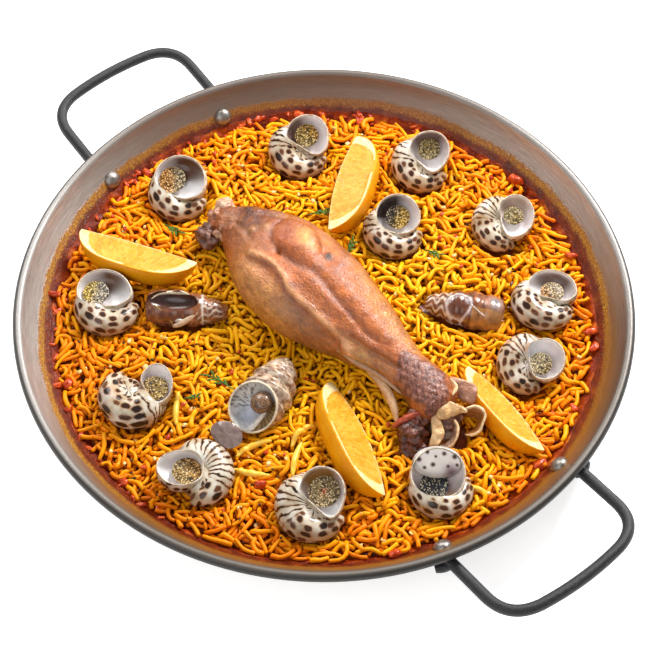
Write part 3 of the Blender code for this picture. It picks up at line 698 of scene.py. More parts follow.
class NoodleBed:
    # lets noodles fall one by one onto a height map of the pan

    def __init__(self):
        self.size = grid["size"]
        axis = (np.arange(2 * self.size) + 0.5 - self.size) * mm
        x, y = np.meshgrid(axis, axis, indexing="ij")
        wall = wallLevel(np.hypot(x, y)) + strands["wallGap"] * mm
        self.height = np.maximum(bedHeight(x, y) - bed["sink"] * mm, wall)
        self.highest = np.maximum(bedHeight(x, y) + strands["limit"] * mm, wall + strands["wallLimit"] * mm)
        self.ceiling = undersideMap(self.size)
        self.random = np.random.default_rng(strands["seed"])
        self.fine = 3 * (strands["rings"] - 1) + 1
        # for each point k between two others i and j, how far along it is
        i, j, k = np.meshgrid(*[np.arange(self.fine)] * 3, indexing="ij")
        self.share = np.where(j > i, (k - i) / np.maximum(j - i, 1), 0)
        self.outside = np.where((k < i) | (k > j), -1.0, 0.0)

    def clamped(self, index):
        return np.clip(index, 0, 2 * self.size - 1)

    def cell(self, points):
        index = self.clamped(np.floor(points / mm).astype(int) + self.size)
        return index[..., 0], index[..., 1]

    def candidate(self):
        random = self.random
        reach = (bed["reach"] - 3) * mm * math.sqrt(random.uniform(0, 1))
        angle = random.uniform(0, math.tau)
        low, high = strands["length"]
        length = (low + (high - low) * random.beta(1.6, 2.0)) * mm
        along = np.linspace(-0.5, 0.5, self.fine)
        turn = random.normal(0, strands["bend"][0 if random.uniform() < strands["bentShare"] else 1])
        sway = random.normal(0, strands["sway"])
        heading = random.uniform(0, math.tau) + turn * along
        heading = heading + sway * np.sin(along * math.tau * random.uniform(0.8, 1.3))
        steps = np.stack([np.cos(heading), np.sin(heading)], axis=1) * length / (self.fine - 1)
        path = np.cumsum(steps, axis=0)
        path += np.array([math.cos(angle), math.sin(angle)]) * reach - path.mean(axis=0)
        return path, heading

    def support(self, path, heading, radius):
        across = np.stack([-np.sin(heading), np.cos(heading)], axis=1) * radius * 0.5
        levels = [self.height[self.cell(path + across * side)] for side in (-1, 0, 1)]
        return np.maximum(np.maximum(levels[0], levels[1] + 0.0002), levels[2])

    def lowest(self, radius):
        # of a few places tried, the one where the noodle comes to lie lowest
        best = None
        for attempt in range(strands["tries"]):
            path, heading = self.candidate()
            support = self.support(path, heading, radius)
            cells = self.cell(path)
            isOut = (np.hypot(path[:, 0], path[:, 1]) > (bed["reach"] - 1.2) * mm).any()
            isUnder = (support + 1.6 * radius > self.ceiling[cells]).any()
            if isOut or isUnder or (support > self.highest[cells]).any():
                continue
            score = support.mean() + 0.25 * support.max()
            if best is None or score < best[0]:
                best = (score, path, support)
        return best

    def drop(self):
        radius = self.random.uniform(*strands["radius"]) * mm
        best = self.lowest(radius)
        if best is None:
            return None
        path, support = best[1:]
        floor = support + radius * 0.35
        # a noodle is stiff: it hangs only a little below the straight lines between what it rests on
        straight = floor[:, None, None] * (1 - self.share) + floor[None, :, None] * self.share + self.outside
        level = np.maximum(floor, straight.max(axis=(0, 1)) - strands["sag"] * mm)
        for relax in range(8):
            level[1:-1] = np.maximum(floor[1:-1], (level[:-2] + level[2:]) / 2)
        i, j = self.cell(path)
        for di, dj, rise in ((0, 0, 0.9), (1, 0, 0.35), (-1, 0, 0.35), (0, 1, 0.35), (0, -1, 0.35)):
            np.maximum.at(self.height, (self.clamped(i + di), self.clamped(j + dj)), level + rise * radius)
        return np.column_stack([path, level]), radius


def noodleMaterial():
    noodle = Finish("goldenNoodle", 0.45, {"Specular IOR Level": 0.15, **glow(0.12, (1.0, 0.5, 0.05), 0.0016)})
    values = noodle.channels(noodle.attribute("shade"))
    speckle = noodle.noise(420, 3, 0.6)
    tone = noodle.plus(noodle.times(values[0], 0.6), noodle.times(noodle.noise(22), 0.4))
    colour = noodle.ramp(tone, (0.2, (0.90, 0.205, 0.0)), (0.5, (0.98, 0.325, 0.001)), (0.8, (1.0, 0.46, 0.003)))
    frontLeft = noodle.vector("DOT_PRODUCT", noodle.coords, (0.13, -0.99, 0))
    for share, tint in (
            (noodle.soft(noodle.fromAxis()[0], 60 * mm, 165 * mm, 0.8, 0), (1.0, 0.53, 0.006)),
            (noodle.spread(speckle, 0.55, 0.8, 0, 0.2), (0.99, 0.52, 0.015)),
            (noodle.soft(frontLeft, 50 * mm, 170 * mm, 0, 0.45), (0.78, 0.20, 0.0)),
            # painted shade, together with sauce, where other noodles lie over a noodle
            (values[1], (0.26, 0.028, 0.0))):
        colour = noodle.mixed(share, colour, tint)
    return noodle.surface(colour, noodle.spread(speckle, 0.3, 0.7, 0.30, 0.5), noodle.bump(speckle, 0.3, 0.0003))


def coreMaterial():
    oil = Finish("oilySauce", 0.32, {"Specular IOR Level": 0.5})
    lumps = oil.noise(150, 4, 0.6)
    colour = oil.ramp(lumps, (0.3, (0.10, 0.014, 0.001)), (0.55, (0.24, 0.045, 0.001)),
                      (0.75, (0.42, 0.11, 0.003)))
    return oil.apply({"Base Color": colour, "Normal": oil.bump(lumps, 0.6, 0.002)})


def makeCore():
    gap, rings = 0.35, 40
    slopes = [slopeAt(bed["edge"] - 2), *(math.radians(degrees) for degrees in (36, 28, 20, 10, 0))]
    side = [wallPoint(slope, -gap) for slope in slopes]
    edgeRadius, edgeLevel = side[0]
    top = [(edgeRadius * ring / rings, edgeLevel) for ring in range(rings)]
    bm = bmesh.new()
    spunProfile(bm, [*top, *side, (0, (pan["sheet"] + gap) * mm)], 120)
    for vertex in bm.verts:
        x, y, z = vertex.co
        inwards = edgeRadius - math.hypot(x, y)
        if z > edgeLevel - 0.1 * mm and inwards > 1 * mm:
            fade = min(1, inwards / 0.02)
            wave = math.sin(x * 900 + 3 * math.sin(y * 500)) + math.cos(y * 1050 + 2 * math.sin(x * 430))
            level = float(bedHeight(x, y)) - (bed["sink"] + 0.2 * wave) * mm
            vertex.co.z = edgeLevel * (1 - fade) + fade * level
    finishPiece(meshOf(bm), "sauce_core", [coreMaterial()], "noodle_bed")


def makeNoodles():
    heap = NoodleBed()
    random = heap.random
    tried = (heap.drop() for index in range(strands["drops"]))
    fallen = [noodle for noodle in tried if noodle][:strands["count"]]
    rings, count = strands["rings"], len(fallen)
    paths = np.array([noodle[0][::3] for noodle in fallen])
    thickness = np.array([noodle[1] for noodle in fallen])
    taper = np.ones(rings)
    taper[[0, -1]] = 0.5
    lean = random.uniform(-0.2, 0.2, (count, 1)) * np.linspace(-1, 1, rings)
    radii = thickness[:, None] * taper * (1 + lean) * random.uniform(0.92, 1.08, (count, rings))
    # draw the two rings next to each end outwards, so that the ends are round
    for end, following in ((0, 1), (-1, -2)):
        paths[:, following] = paths[:, end] + (paths[:, following] - paths[:, end]) * 0.3
    # painted shade, together with sauce: a noodle is darker where others lie over it
    above = heap.height[heap.cell(paths[..., :2])] - radii - paths[..., 2]
    depth = np.clip(above / (3.0 * mm) - 0.08, 0, 1)
    away = np.clip(np.hypot(paths[..., 0], paths[..., 1]) / 0.165, 0, 1)
    tone = np.broadcast_to(random.uniform(0, 1, count)[:, None], depth.shape)
    shade = np.stack([tone, depth * (0.7 + 0.25 * away), tone], axis=-1)
    material = noodleMaterial()
    for number, start in enumerate(range(0, count, strands["share"]), 1):
        part = slice(start, start + strands["share"])
        mesh = meshFromArrays("noodles", *tubeArrays(paths[part], radii[part], strands["sides"]))
        paintPoints(mesh, "shade", np.repeat(shade[part].reshape(-1, 3), strands["sides"], axis=0))
        finishPiece(mesh, f"noodles_{number}", [material])
    print(count, "noodles")
    return heap


makeCore()
heap = makeNoodles()
print("noodles laid")


# snails with their mouths up

# the cup and the hollow are rings: share of the mouth's outline, level
snail = {"outer": 22, "tailRadius": 5.5, "bigRadius": 12, "tailAngle": 284, "bigAngle": 84, "tailLift": 10,
         "bigLift": 12.4, "mouthHeight": 22.5, "overhang": 0.9, "sideways": 1.5, "tilt": 11, "wall": 0.9,
         "sides": 28, "stations": 40, "round": 64, "pivot": 11, "pitch": 6.6, "innerPitch": 5.4, "cavity": 9.6,
         "end": ((70, 0.9, 12), (58, 0.72, 10.5), (46, 0.5, 9.6), (36, 0.35, 9)),
         "cup": ((1.0, 0), (1.02, -1.5), (1.03, -4), (1.01, -7), (0.95, -10.5), (0.84, -13.5), (0.66, -16),
                 (0.4, -17.6), (0.12, -18)),
         "hollow": ((0.3, 9), (1.0, 9), (1.0, 0.6), (1.0, 0), (1.0, -1.6), (0.99, -3.4), (0.95, -5.4),
                    (0.86, -7.3), (0.66, -9), (0.3, -9.6))}
disc = {"rings": 14, "sides": 48, "strokes": 42, "rows": 6.5, "depth": 5.0}

# x, y, base height, heading, turn, size, mouth radius, tilt, heading of the tilt (mm and degrees), then how flat
# the mouth is on the whorl's side, angle and size of the lip's corner, where stripes start along the whorl
snailTable = (
    (-141, -16, 15, 108, 1, 0.98, 17.6, 12, -40, 0.80, -95, 0.13, 1.3),
    (-121, 71, 15, 112, 1, 0.98, 15.4, 18, -30, 0.66, -105, 0.10, 0.72),
    (-60, 130.5, 15, 103, 1, 0.96, 15.8, 20, -35, 0.80, -130, 0.07, 0.70),
    (-26, 78.5, 17, 125, 1, 0.95, 16.2, 14, -25, 1.00, -100, 0.03, 0.74),
    (13, 140, 15, 66, 1, 0.92, 16.0, 12, 0, 0.90, -125, 0.10, 0.50),
    (80, 119, 16, 120, 1, 0.97, 16.4, 8, 120, 0.66, -95, 0.10, 0.80),
    (110, 80, 16, 60, 1, 0.93, 15.2, 16, -20, 0.72, 150, 0.05, 0.62),
    (-92, -108, 14, 134, 1, 0.98, 17.6, 1, 130, 0.76, -95, 0.12, 1.3),
    (-22.5, -134.5, 15, 92, -1, 1.03, 14.6, 12, 60, 0.70, 150, 0.06, 0.84),
    (47, -133.5, 14, 238, -1, 1.03, 15.8, 8, -100, 0.95, -60, 0.05, 0.25),
    (108, -92, 15, 106, 1, 1.05, 16.4, 12, -30, 0.62, -110, 0.10, 0.52),
    (145, -21, 14, 150, 1, 0.93, 17.4, 6, -30, 1.00, -60, 0.04, 1.3),
)
# as the camera sees them: mouth moved right and away, its width and depth as shares, disc moved right and away,
# disc radius (mm)
mouthTable = (
    (-1.5, 0.5, 1.03, 0.93, -5.5, 0.3, 9.4), (2.6, 0, 0.98, 0.98, -0.6, 0.8, 8.3),
    (1.7, 0, 0.92, 0.94, -0.5, 2.0, 7.8), (1.6, 0.5, 0.97, 0.92, 0, -0.8, 8.5),
    (2.6, 0, 0.84, 1.05, -1.3, 1.6, 7.4), (3.2, -1.5, 1.0, 0.84, 1.0, -1.2, 7.9),
    (1.8, -1.5, 0.95, 0.98, -2.6, -2.0, 7.9), (-1.8, 0.5, 1.0, 0.88, -5.2, 0, 8.8),
    (4.8, 1.0, 0.70, 0.94, -0.8, -1.0, 8.2), (-1.0, -1.5, 0.94, 0.74, 3.6, 0.0, 9.0),
    (2.6, -1.2, 0.82, 0.94, 1.0, 1.0, 9.2), (0, 0, 1.05, 1.02, -2.3, -6.5, 9.4),
)
# the disc's main colour, patch colour, heading of the patch, its reach; then the inside wall: heading, strength
# and colour of its dark shade, partly its own colour and partly painted shade, heading and strength of its
# bright band
brownShade, goldShade, blackShade = (0.13, 0.045, 0.015), (0.36, 0.17, 0.045), (0.045, 0.028, 0.024)
discTable = (
    ((0.58, 0.42, 0.22), (0.85, 0.34, 0.03), 232, 0.9, 105, 1.0, brownShade, 15, 1.0),
    ((0.56, 0.34, 0.06), (0.85, 0.42, 0.03), 100, 0.5, 215, 0.9, brownShade, 100, 0.7),
    ((0.46, 0.30, 0.08), (0.50, 0.36, 0.14), 0, 0.4, 150, 0.9, brownShade, -10, 0.6),
    ((0.10, 0.065, 0.04), (0.80, 0.46, 0.04), 30, 0.9, 190, 1.0, blackShade, 10, 0.3),
    ((0.46, 0.29, 0.07), (0.60, 0.45, 0.20), 230, 0.5, 150, 0.7, goldShade, 300, 0.9),
    ((0.62, 0.42, 0.20), (0.80, 0.34, 0.05), 260, 0.5, 130, 0.9, brownShade, 232, 0.9),
    ((0.74, 0.58, 0.32), (0.42, 0.26, 0.08), 0, 0.3, 20, 0.2, brownShade, 190, 1.0),
    ((0.52, 0.43, 0.34), (0.88, 0.58, 0.06), 215, 0.7, 95, 1.0, brownShade, 40, 1.0),
    ((0.50, 0.28, 0.05), (0.62, 0.38, 0.07), 40, 0.5, 250, 0.5, brownShade, 110, 0.5),
    ((0.62, 0.36, 0.09), (0.80, 0.34, 0.03), 80, 0.5, 145, 0.35, brownShade, 232, 1.0),
    ((0.52, 0.34, 0.13), (0.60, 0.10, 0.02), 0, 0.0, 155, 1.0, goldShade, -10, 1.0),
    ((0.030, 0.032, 0.042), (0.08, 0.08, 0.10), 0, 0.4, 322, 0.9, brownShade, 140, 1.0),
)
# the whorl that closes the far half of the last snail's mouth: place and half width to the right and away, rings
# as share and level, dark spots as place and size (mm)
innerWhorl = {"index": 11, "place": (0, 8.8), "half": (16.6, 10.8), "rings": 40, "sides": 90,
              "profile": ((1.0, -9), (1.0, -6), (0.99, -3.8), (0.96, -2.2), (0.89, -1.0), (0.78, -0.3),
                          (0.6, 0.1), (0.3, 0.2), (0.02, 0.2)),
              "spots": ((-12.5, 9.5, 1.9), (-3.4, 6.0, 1.8), (4.1, 13.5, 1.7), (11.0, 11.5, 2.0),
                        (-7, 14.5, 1.6), (6.5, 5.0, 1.3), (-9.0, 4.0, 1.4), (-1.5, 11.5, 1.1), (12.5, 6.0, 1.3))}


def shellMaterial():
    # rows of round dark spots with a brown halo; near the mouth they turn into cross stripes
    shell = Finish("spottedShell", 0.26, coat(0.35, 0.06, 0.08))
    uv, marks = shell.uv(), shell.channels(shell.attribute("marks"))
    jitter = shell.node("TexNoise", {"Vector": uv, "Scale": 1.3, "Detail": 2})["Color"]
    jitter = shell.vector("SCALE", shell.vector("SUBTRACT", jitter, (0.5, 0.5, 0.5)), 0.4)
    parts = shell.node("SeparateXYZ", {"Vector": shell.vector("ADD", uv, jitter)})
    squared = shell.node("CombineXYZ", {"X": parts[0], "Y": shell.times(parts[1], 1.22)})[0]
    spots = shell.cells(squared, 1.0, 0.52, voronoi_dimensions="2D")
    size = shell.channels(spots["Color"])[0]
    spotEdge = shell.plus(spots["Distance"], shell.times(size, 0.10))
    streaks = shell.plus(shell.times(parts[0], 2.3), shell.times(shell.noise(120, 2), 0.45))
    wave = shell.times(shell.maths("PINGPONG", streaks, 0.5), 1.0)
    lineEdge = shell.plus(wave, shell.times(shell.noise(210, 2), 0.50))
    distance = shell.node("Mix", {0: marks[0], 2: spotEdge, 3: lineEdge})[0]
    distance = shell.plus(distance, shell.times(marks[1], 0.35))
    distance = shell.plus(distance, shell.wavering(shell.noise(900, 2), 0.10))
    clouds = shell.noise(95)
    level = shell.node("SeparateXYZ", {"Vector": shell.coords})["Z"]
    colour = shell.ramp(clouds, (0.3, (0.36, 0.27, 0.16)), (0.48, (0.60, 0.52, 0.39)),
                        (0.64, (0.76, 0.72, 0.62)))
    brown = shell.ramp(size, (0.1, (0.22, 0.065, 0.014)), (0.6, (0.42, 0.15, 0.030)), (0.9, (0.32, 0.13, 0.050)))
    dark = shell.ramp(size, (0.2, (0.020, 0.009, 0.005)), (0.6, (0.045, 0.016, 0.007)),
                      (0.9, (0.13, 0.048, 0.018)))
    for share, tint in (
            (shell.spread(shell.noise(34, 2), 0.54, 0.70, 0, 0.6), (0.40, 0.33, 0.31)),
            (shell.spread(shell.noise(70, 2), 0.56, 0.70, 0, 0.6), (0.52, 0.24, 0.07)),
            # painted reflection of the noodles and painted shade: brownish yellow low down on the shell
            (shell.soft(level, 17 * mm, 33 * mm, 0.9, 0), (0.33, 0.175, 0.050)),
            (shell.times(shell.soft(distance, 0.37, 0.56, 1, 0), 0.7), brown),
            (shell.soft(distance, 0.31, 0.44, 1, 0), dark)):
        colour = shell.mixed(share, colour, tint)
    return shell.surface(colour, shell.spread(clouds, 0.3, 0.7, 0.18, 0.34),
                         shell.bump(shell.noise(260), 0.22, 0.0004))


def mouthMaterial():
    inside = Finish("shellInside", 0.26, {**coat(0.4, 0.1, 0.08), **glow(0.35, (1.0, 0.9, 0.85), 0.004)})
    clouds = inside.noise(140)
    tone = inside.ramp(clouds, (0.3, 0.86), (0.7, 1.0))
    colour = inside.mixed(1.0, inside.attribute("paint"), tone, "MULTIPLY")
    return inside.surface(colour, inside.spread(clouds, 0.3, 0.7, 0.16, 0.3), inside.bump(clouds, 0.15, 0.0005))


def lipMaterial():
    lip = Finish("shellLip", 0.3)
    grain = lip.noise(330, 3, 0.6)
    colour = lip.ramp(grain, (0.35, (0.52, 0.34, 0.18)), (0.55, (0.80, 0.70, 0.55)), (0.7, (0.90, 0.84, 0.74)))
    return lip.surface(colour, lip.spread(grain, 0.3, 0.7, 0.22, 0.4), lip.bump(grain, 0.3, 0.0003))


def discMaterial():
    # short strokes round the middle's grains
    grainy = Finish("grainyDisc", 0.4, {"Specular IOR Level": 0.35})
    uv, paint = grainy.uv(), grainy.attribute("paint")
    strokes = grainy.cells(uv, 1.0, 0.9, voronoi_dimensions="2D")
    grains = grainy.cells(grainy.coords, 780, 1.0)
    edge = grainy.spread(grainy.node("SeparateXYZ", {"Vector": uv})[1], 4.2, 5.4)
    distance = grainy.node("Mix", {0: edge, 2: grains["Distance"], 3: strokes["Distance"]})[0]
    pick = grainy.channels(grainy.mixed(edge, grains["Color"], strokes["Color"]))
    pale = grainy.times(grainy.soft(distance, 0.32, 0.46, 1, 0), grainy.spread(pick[0], 0.24, 0.36, 0, 1))
    dark = grainy.mixed(1.0, paint, grainy.ramp(pick[1], (0.2, 0.07), (0.9, 0.55)), "MULTIPLY")
    light = grainy.mixed(0.38, paint, (1.0, 0.84, 0.54))
    colour = grainy.mixed(pale, dark, light)
    return grainy.apply({"Base Color": colour, "Normal": grainy.bump(pale, 0.8, 0.0006)})


def leaned(degrees, towards):
    angle = math.radians(towards)
    return Matrix.Rotation(math.radians(degrees), 4, Vector((-math.sin(angle), math.cos(angle), 0)))


def setUvs(bm, face, uvs):
    layer = bm.loops.layers.uv.get("UVMap") or bm.loops.layers.uv.new("UVMap")
    for loop, uv in zip(face.loops, uvs):
        loop[layer].uv = uv


def ringShell(bm, rings, uvRows, around, materialIndex):
    # a closed skin over rings of points, with a uv row for each ring and its number of pattern cells around
    count, around = len(rings[0]), np.broadcast_to(around, len(rings))
    skins = [[bm.verts.new(point) for point in ring] for ring in rings]
    # counted from the top of the tube, so that the seam lies underneath
    lefts = [((k + count / 4) % count - count / 2) / count for k in range(count)]

    def addFace(corners, uvs):
        face = bm.faces.new(corners)
        face.material_index = materialIndex
        setUvs(bm, face, uvs)

    for row, (first, second) in enumerate(zip(skins, skins[1:])):
        for k, left in enumerate(lefts):
            after, right = (k + 1) % count, left + 1 / count
            corners = ((row, left), (row, right), (row + 1, right), (row + 1, left))
            addFace((first[k], first[after], second[after], second[k]),
                    [(uvRows[at], share * around[at]) for at, share in corners])
    for row in (0, -1):
        ring = skins[row]
        middle = bm.verts.new(sum((vertex.co for vertex in ring), Vector()) / count)
        for k, left in enumerate(lefts):
            v = left * around[row]
            addFace((ring[k], ring[(k + 1) % count], middle),
                    ((uvRows[row], v), (uvRows[row], v + 1 / count), (uvRows[row], v)))


def skinned(rings, uvRows, around, materialIndex, place=Matrix.Identity(4)):
    # a closed skin as a mesh of its own, with an empty slot for each of the three materials
    bm = bmesh.new()
    ringShell(bm, rings, uvRows, around, materialIndex)
    bmesh.ops.transform(bm, verts=bm.verts[:], matrix=place)
    outwards(bm)
    mesh = meshOf(bm)
    for empty in range(3):
        mesh.materials.append(None)
    return mesh


def whorlRings(turn):
    # the body whorl swells as it curls from its pointed tail, then dives under the mouth
    path = []
    for step in range(snail["stations"] + 1):
        t = step / snail["stations"]
        radius = snail["tailRadius"] + (snail["bigRadius"] - snail["tailRadius"]) * t ** 0.7
        if t < 0.06:
            radius *= 0.35 + 0.65 * math.sqrt(t / 0.06)
        angle = snail["tailAngle"] + (snail["bigAngle"] - snail["tailAngle"]) * t
        path.append((angle, radius, snail["tailLift"] + (snail["bigLift"] - snail["tailLift"]) * t))
    path += [(degrees, share * snail["bigRadius"], lift) for degrees, share, lift in snail["end"]]
    points = []
    for degrees, radius, lift in path:
        reach, angle = snail["outer"] - radius, math.radians(degrees)
        points.append(Vector((reach * math.cos(angle), turn * reach * math.sin(angle), lift)))
    radii = [radius for degrees, radius, lift in path]
    steps = [(second - first).length / snail["pitch"] for first, second in zip(points, points[1:])]
    rings = []
    for before, point, after, radius in zip(points[:1] + points, points, points[1:] + points[-1:], radii):
        ahead = (after - before).normalized()
        side = ahead.cross(Vector((0, 0, 1))).normalized()
        lift = side.cross(ahead)
        rings.append([point + (side * math.cos(a) + lift * math.sin(a)) * radius
                      for a in circleOf(snail["sides"])])
    return rings, np.cumsum([0.0, *steps]), [radius * math.tau / snail["pitch"] for radius in radii]


def mouthReach(angle, radius, flat, corner, cornerSize, turn):
    # the lip's outline: round, flatter on the whorl's side, drawn out at one corner
    limit = flat / max(math.cos(angle - math.pi), 0.05)
    share = 1 / (1 + (1 / limit) ** 10) ** 0.1
    turned = (angle - turn * math.radians(corner) + math.pi) % math.tau - math.pi
    return radius * (share + cornerSize * bell(turned / 0.42) + 0.012 * math.sin(3 * angle + corner))


def booleaned(base, others):
    # base is joined with, or cut by, each (operation, mesh) in turn
    body, tools = hold("body", base), []
    for operation, mesh in others:
        tool = hold("tool", mesh)
        tool.hide_render = True
        modifier = body.modifiers.new(operation, "BOOLEAN")
        modifier.operation = operation
        modifier.solver = "EXACT"
        modifier.use_self = True
        modifier.object = tool
        tools.append(tool)
    bpy.context.view_layer.update()
    made = bpy.data.meshes.new_from_object(body.evaluated_get(bpy.context.evaluated_depsgraph_get()))
    for thing in (body, *tools):
        bpy.data.objects.remove(thing, do_unlink=True)
    return made


def snailBody(turn, outline, cupPlace):
    # the whorled tube, its core and the mouth's cup as one, with the mouth hollowed out
    cup, hollow = snail["cup"], snail["hollow"]
    cupRows = [level / snail["pitch"] for share, level in cup]
    hollowRows = [level / snail["innerPitch"] for share, level in hollow]
    dome = [(math.cos(a), 9.6 * math.sin(a)) for a in (math.radians(d) for d in range(-80, 81, 16))]
    thin = [(a, r - snail["wall"]) for a, r in outline]
    return booleaned(skinned(*whorlRings(turn), 0), (
        ("UNION", skinned(ringsAt([(a, 14) for a in circleOf(36)], dome, (-3, turn * -3, 9.5)),
                          [0.5 * k for k in range(len(dome))], 12, 0)),
        ("UNION", skinned(ringsAt(outline, cup), cupRows, 15, 0, cupPlace)),
        ("DIFFERENCE", skinned(ringsAt(thin, hollow), hollowRows, 18, 1, cupPlace))))


def addLip(bm, outline, place, phase):
    # a thin bead along the mouth's rim
    loops, sides = [], 8
    for a, r in outline:
        thickness = 0.34 + 0.08 * math.sin(5 * a + phase) if math.cos(a) > -0.3 else 0.24
        out = Vector((math.cos(a), math.sin(a), 0))
        reach = r - 0.5 * snail["wall"]
        spots = [out * (reach + thickness * math.cos(b)) + Vector((0, 0, thickness * math.sin(b)))
                 for b in circleOf(sides)]
        loops.append([bm.verts.new(place @ spot) for spot in spots])
    for first, second in zip(loops, loops[1:] + loops[:1]):
        for j in range(sides):
            k = (j + 1) % sides
            bm.faces.new((first[j], first[k], second[k], second[j])).material_index = 2


def paintMouth(angle, depth, shadeAt, shadeShare, shadeColour, brightAt, brightShare):
    # lilac grey, with a dark shade on one side and a bright band on the other; angle and depth are arrays
    def near(heading, width):
        return bell(((angle - math.radians(heading) + math.pi) % math.tau - math.pi) / width)

    # painted shade: the lilac grey darkens deeper in, and the dark shade deep on one side is partly painted
    # shade and partly the inside's own colour
    colour = blend(plainPaint(depth, (0.99, 0.95, 0.92)), depth, (0.94, 0.85, 0.84))
    deepShade = shadeShare * np.clip(depth * 2.8 - 0.2, 0, 1)
    colour = blend(colour, np.clip(near(shadeAt, 1.15) * 1.5, 0, 1) * deepShade, shadeColour)
    colour = blend(colour, near(brightAt, 0.75) * brightShare * (1 - 0.25 * depth), (1.0, 1.0, 1.0))
    return blend(colour, 1 - depth / 0.10, (0.84, 0.74, 0.62))


def paintInnerWhorl(x, y):
    away = np.min([np.hypot(x - a, y - b) / c for a, b, c in innerWhorl["spots"]], axis=0)
    colour = blend(plainPaint(x, (0.60, 0.54, 0.50)), bell(np.hypot(x - 8.5, y - 1.5) / 5), (0.20, 0.12, 0.13))
    return blend(colour, 1.8 - 1.5 * away, (0.05, 0.022, 0.014))


def makeSnail(index, body, mouthRow, discRow, materials, grainy):
    x, y, base, mouth, turn, size, mouthRadius, tilt, towards, flat, corner, cornerSize, stripes = body
    right, away, wide, tall, discRight, discAway, discRadius = mouthRow
    turned = headed(mouth).inverted() @ headed(view["azimuth"])
    reach = snail["outer"] + snail["overhang"] - mouthRadius
    middle = Matrix.Translation((reach, turn * snail["sideways"], snail["mouthHeight"]))
    shifted = Matrix.Translation(turned @ Vector((right, away, 0)))
    cupBase = shifted @ middle @ Matrix.Rotation(math.radians(-snail["tilt"]), 4, "Y")
    cupPlace = cupBase @ turned @ Matrix.Diagonal((wide, tall, 1, 1)) @ turned.inverted()
    angles = circleOf(snail["round"])
    outline = [(a, mouthReach(a, mouthRadius, flat, corner, cornerSize, turn)) for a in angles]
    bm = bmesh.new()
    bm.from_mesh(snailBody(turn, outline, cupPlace))
    addLip(bm, outline, cupPlace, index)
    firstInner = len(bm.verts)
    seen = cupBase @ turned
    if index == innerWhorl["index"]:
        spread = Matrix.Diagonal((*innerWhorl["half"], 1, 1))
        place = seen @ Matrix.Translation((*innerWhorl["place"], 0)) @ spread
        rings = ringsAt([(a, 1) for a in circleOf(innerWhorl["sides"])],
                        smoothTable(innerWhorl["profile"], innerWhorl["rings"]))
        ringShell(bm, [[place @ Vector(point) for point in ring] for ring in rings],
                  [0.2 * k for k in range(len(rings))], 11, 1)
    outwards(bm)
    mesh = meshOf(bm, "snail")
    plain = meshPoints(mesh)
    local = moved(plain, cupPlace.inverted())
    angle = np.arctan2(local[:, 1], local[:, 0])
    paint = paintMouth(angle + math.radians(mouth), np.clip(-local[:, 2] / snail["cavity"], 0, 1), *discRow[4:])
    if index == innerWhorl["index"]:
        paint[firstInner:] = paintInnerWhorl(*moved(plain[firstInner:], seen.inverted())[:, :2].T)
    whorlAngle = np.degrees(np.arctan2(turn * plain[:, 1], plain[:, 0])) % 360
    along = np.clip((snail["tailAngle"] - whorlAngle) / (snail["tailAngle"] - snail["bigAngle"]), 0, 1)
    stripe = np.clip((along - stripes) / 0.12, 0, 1)
    rim = np.interp(angle % math.tau, angles, [r for a, r in outline])
    fromRim = np.abs(np.hypot(local[:, 0], local[:, 1]) - rim)
    clear = np.clip(1.2 - fromRim / 1.6, 0, 1) * (local[:, 2] > -3) * (np.cos(angle) < 0.1)
    paintPoints(mesh, "paint", paint)
    paintPoints(mesh, "marks", np.column_stack([stripe, clear, np.full(len(clear), index / 12)]))
    pivot = Matrix.Translation((0, 0, snail["pivot"] * size * mm))
    whole = standing(x, y, base, 0) @ pivot @ leaned(tilt, towards) @ pivot.inverted() @ headed(mouth)
    whole = whole @ Matrix.Scale(size * mm, 4)
    mesh.transform(whole)
    number = f"{index + 1:02d}"
    finishPiece(mesh, "snail_shell_" + number, materials, "snail_" + number, 38)
    discPlace = whole @ cupBase @ Matrix.Translation(turned @ Vector((discRight, discAway, -disc["depth"])))
    makeDisc("mouth_disc_" + number, discPlace, discRadius, *discRow[:4], grainy)


def makeDisc(name, place, radius, mainTint, patchTint, patchAt, patchReach, material):
    rings, sides = disc["rings"], disc["sides"]
    share = np.arange(rings + 1) / rings
    level = 1.1 * (1 - share ** 2) - 0.5 * bell(share / 0.25) + 0.35 * bell((share - 0.93) / 0.08)
    bm = bmesh.new()
    rows = [[bm.verts.new(place @ Vector(point)) for point in ring]
            for ring in ringsAt([(a, radius) for a in circleOf(sides)], zip(share, level))]
    for ring, (first, second) in enumerate(zip(rows, rows[1:])):
        for side in range(sides):
            after = (side + 1) % sides
            face = bm.faces.new((first[side], first[after], second[after], second[side]))
            corners = ((side, ring), (side + 1, ring), (side + 1, ring + 1), (side, ring + 1))
            setUvs(bm, face, [(u / sides * disc["strokes"], v / rings * disc["rows"]) for u, v in corners])
    bmesh.ops.remove_doubles(bm, verts=rows[0], dist=0.01 * mm)
    outwards(bm)
    mesh = meshOf(bm, "disc")
    away = (meshPoints(mesh)[:, :2] - np.array(place.translation)[:2]) / (radius * mm)
    patch = bell(np.hypot(away[:, 0], away[:, 1]) / 0.22)
    if patchReach:
        angle = math.radians(patchAt)
        patch = away @ np.array((math.cos(angle), math.sin(angle))) * 1.4 + patchReach - 0.35
    paintPoints(mesh, "paint", blend(plainPaint(away, mainTint), patch, patchTint))
    finishPiece(mesh, name, [material])


shells = [shellMaterial(), mouthMaterial(), lipMaterial()]
grainy = discMaterial()
for index, rows in enumerate(zip(snailTable, mouthTable, discTable)):
    makeSnail(index, *rows, shells, grainy)
print("snails made")


# lemon wedges

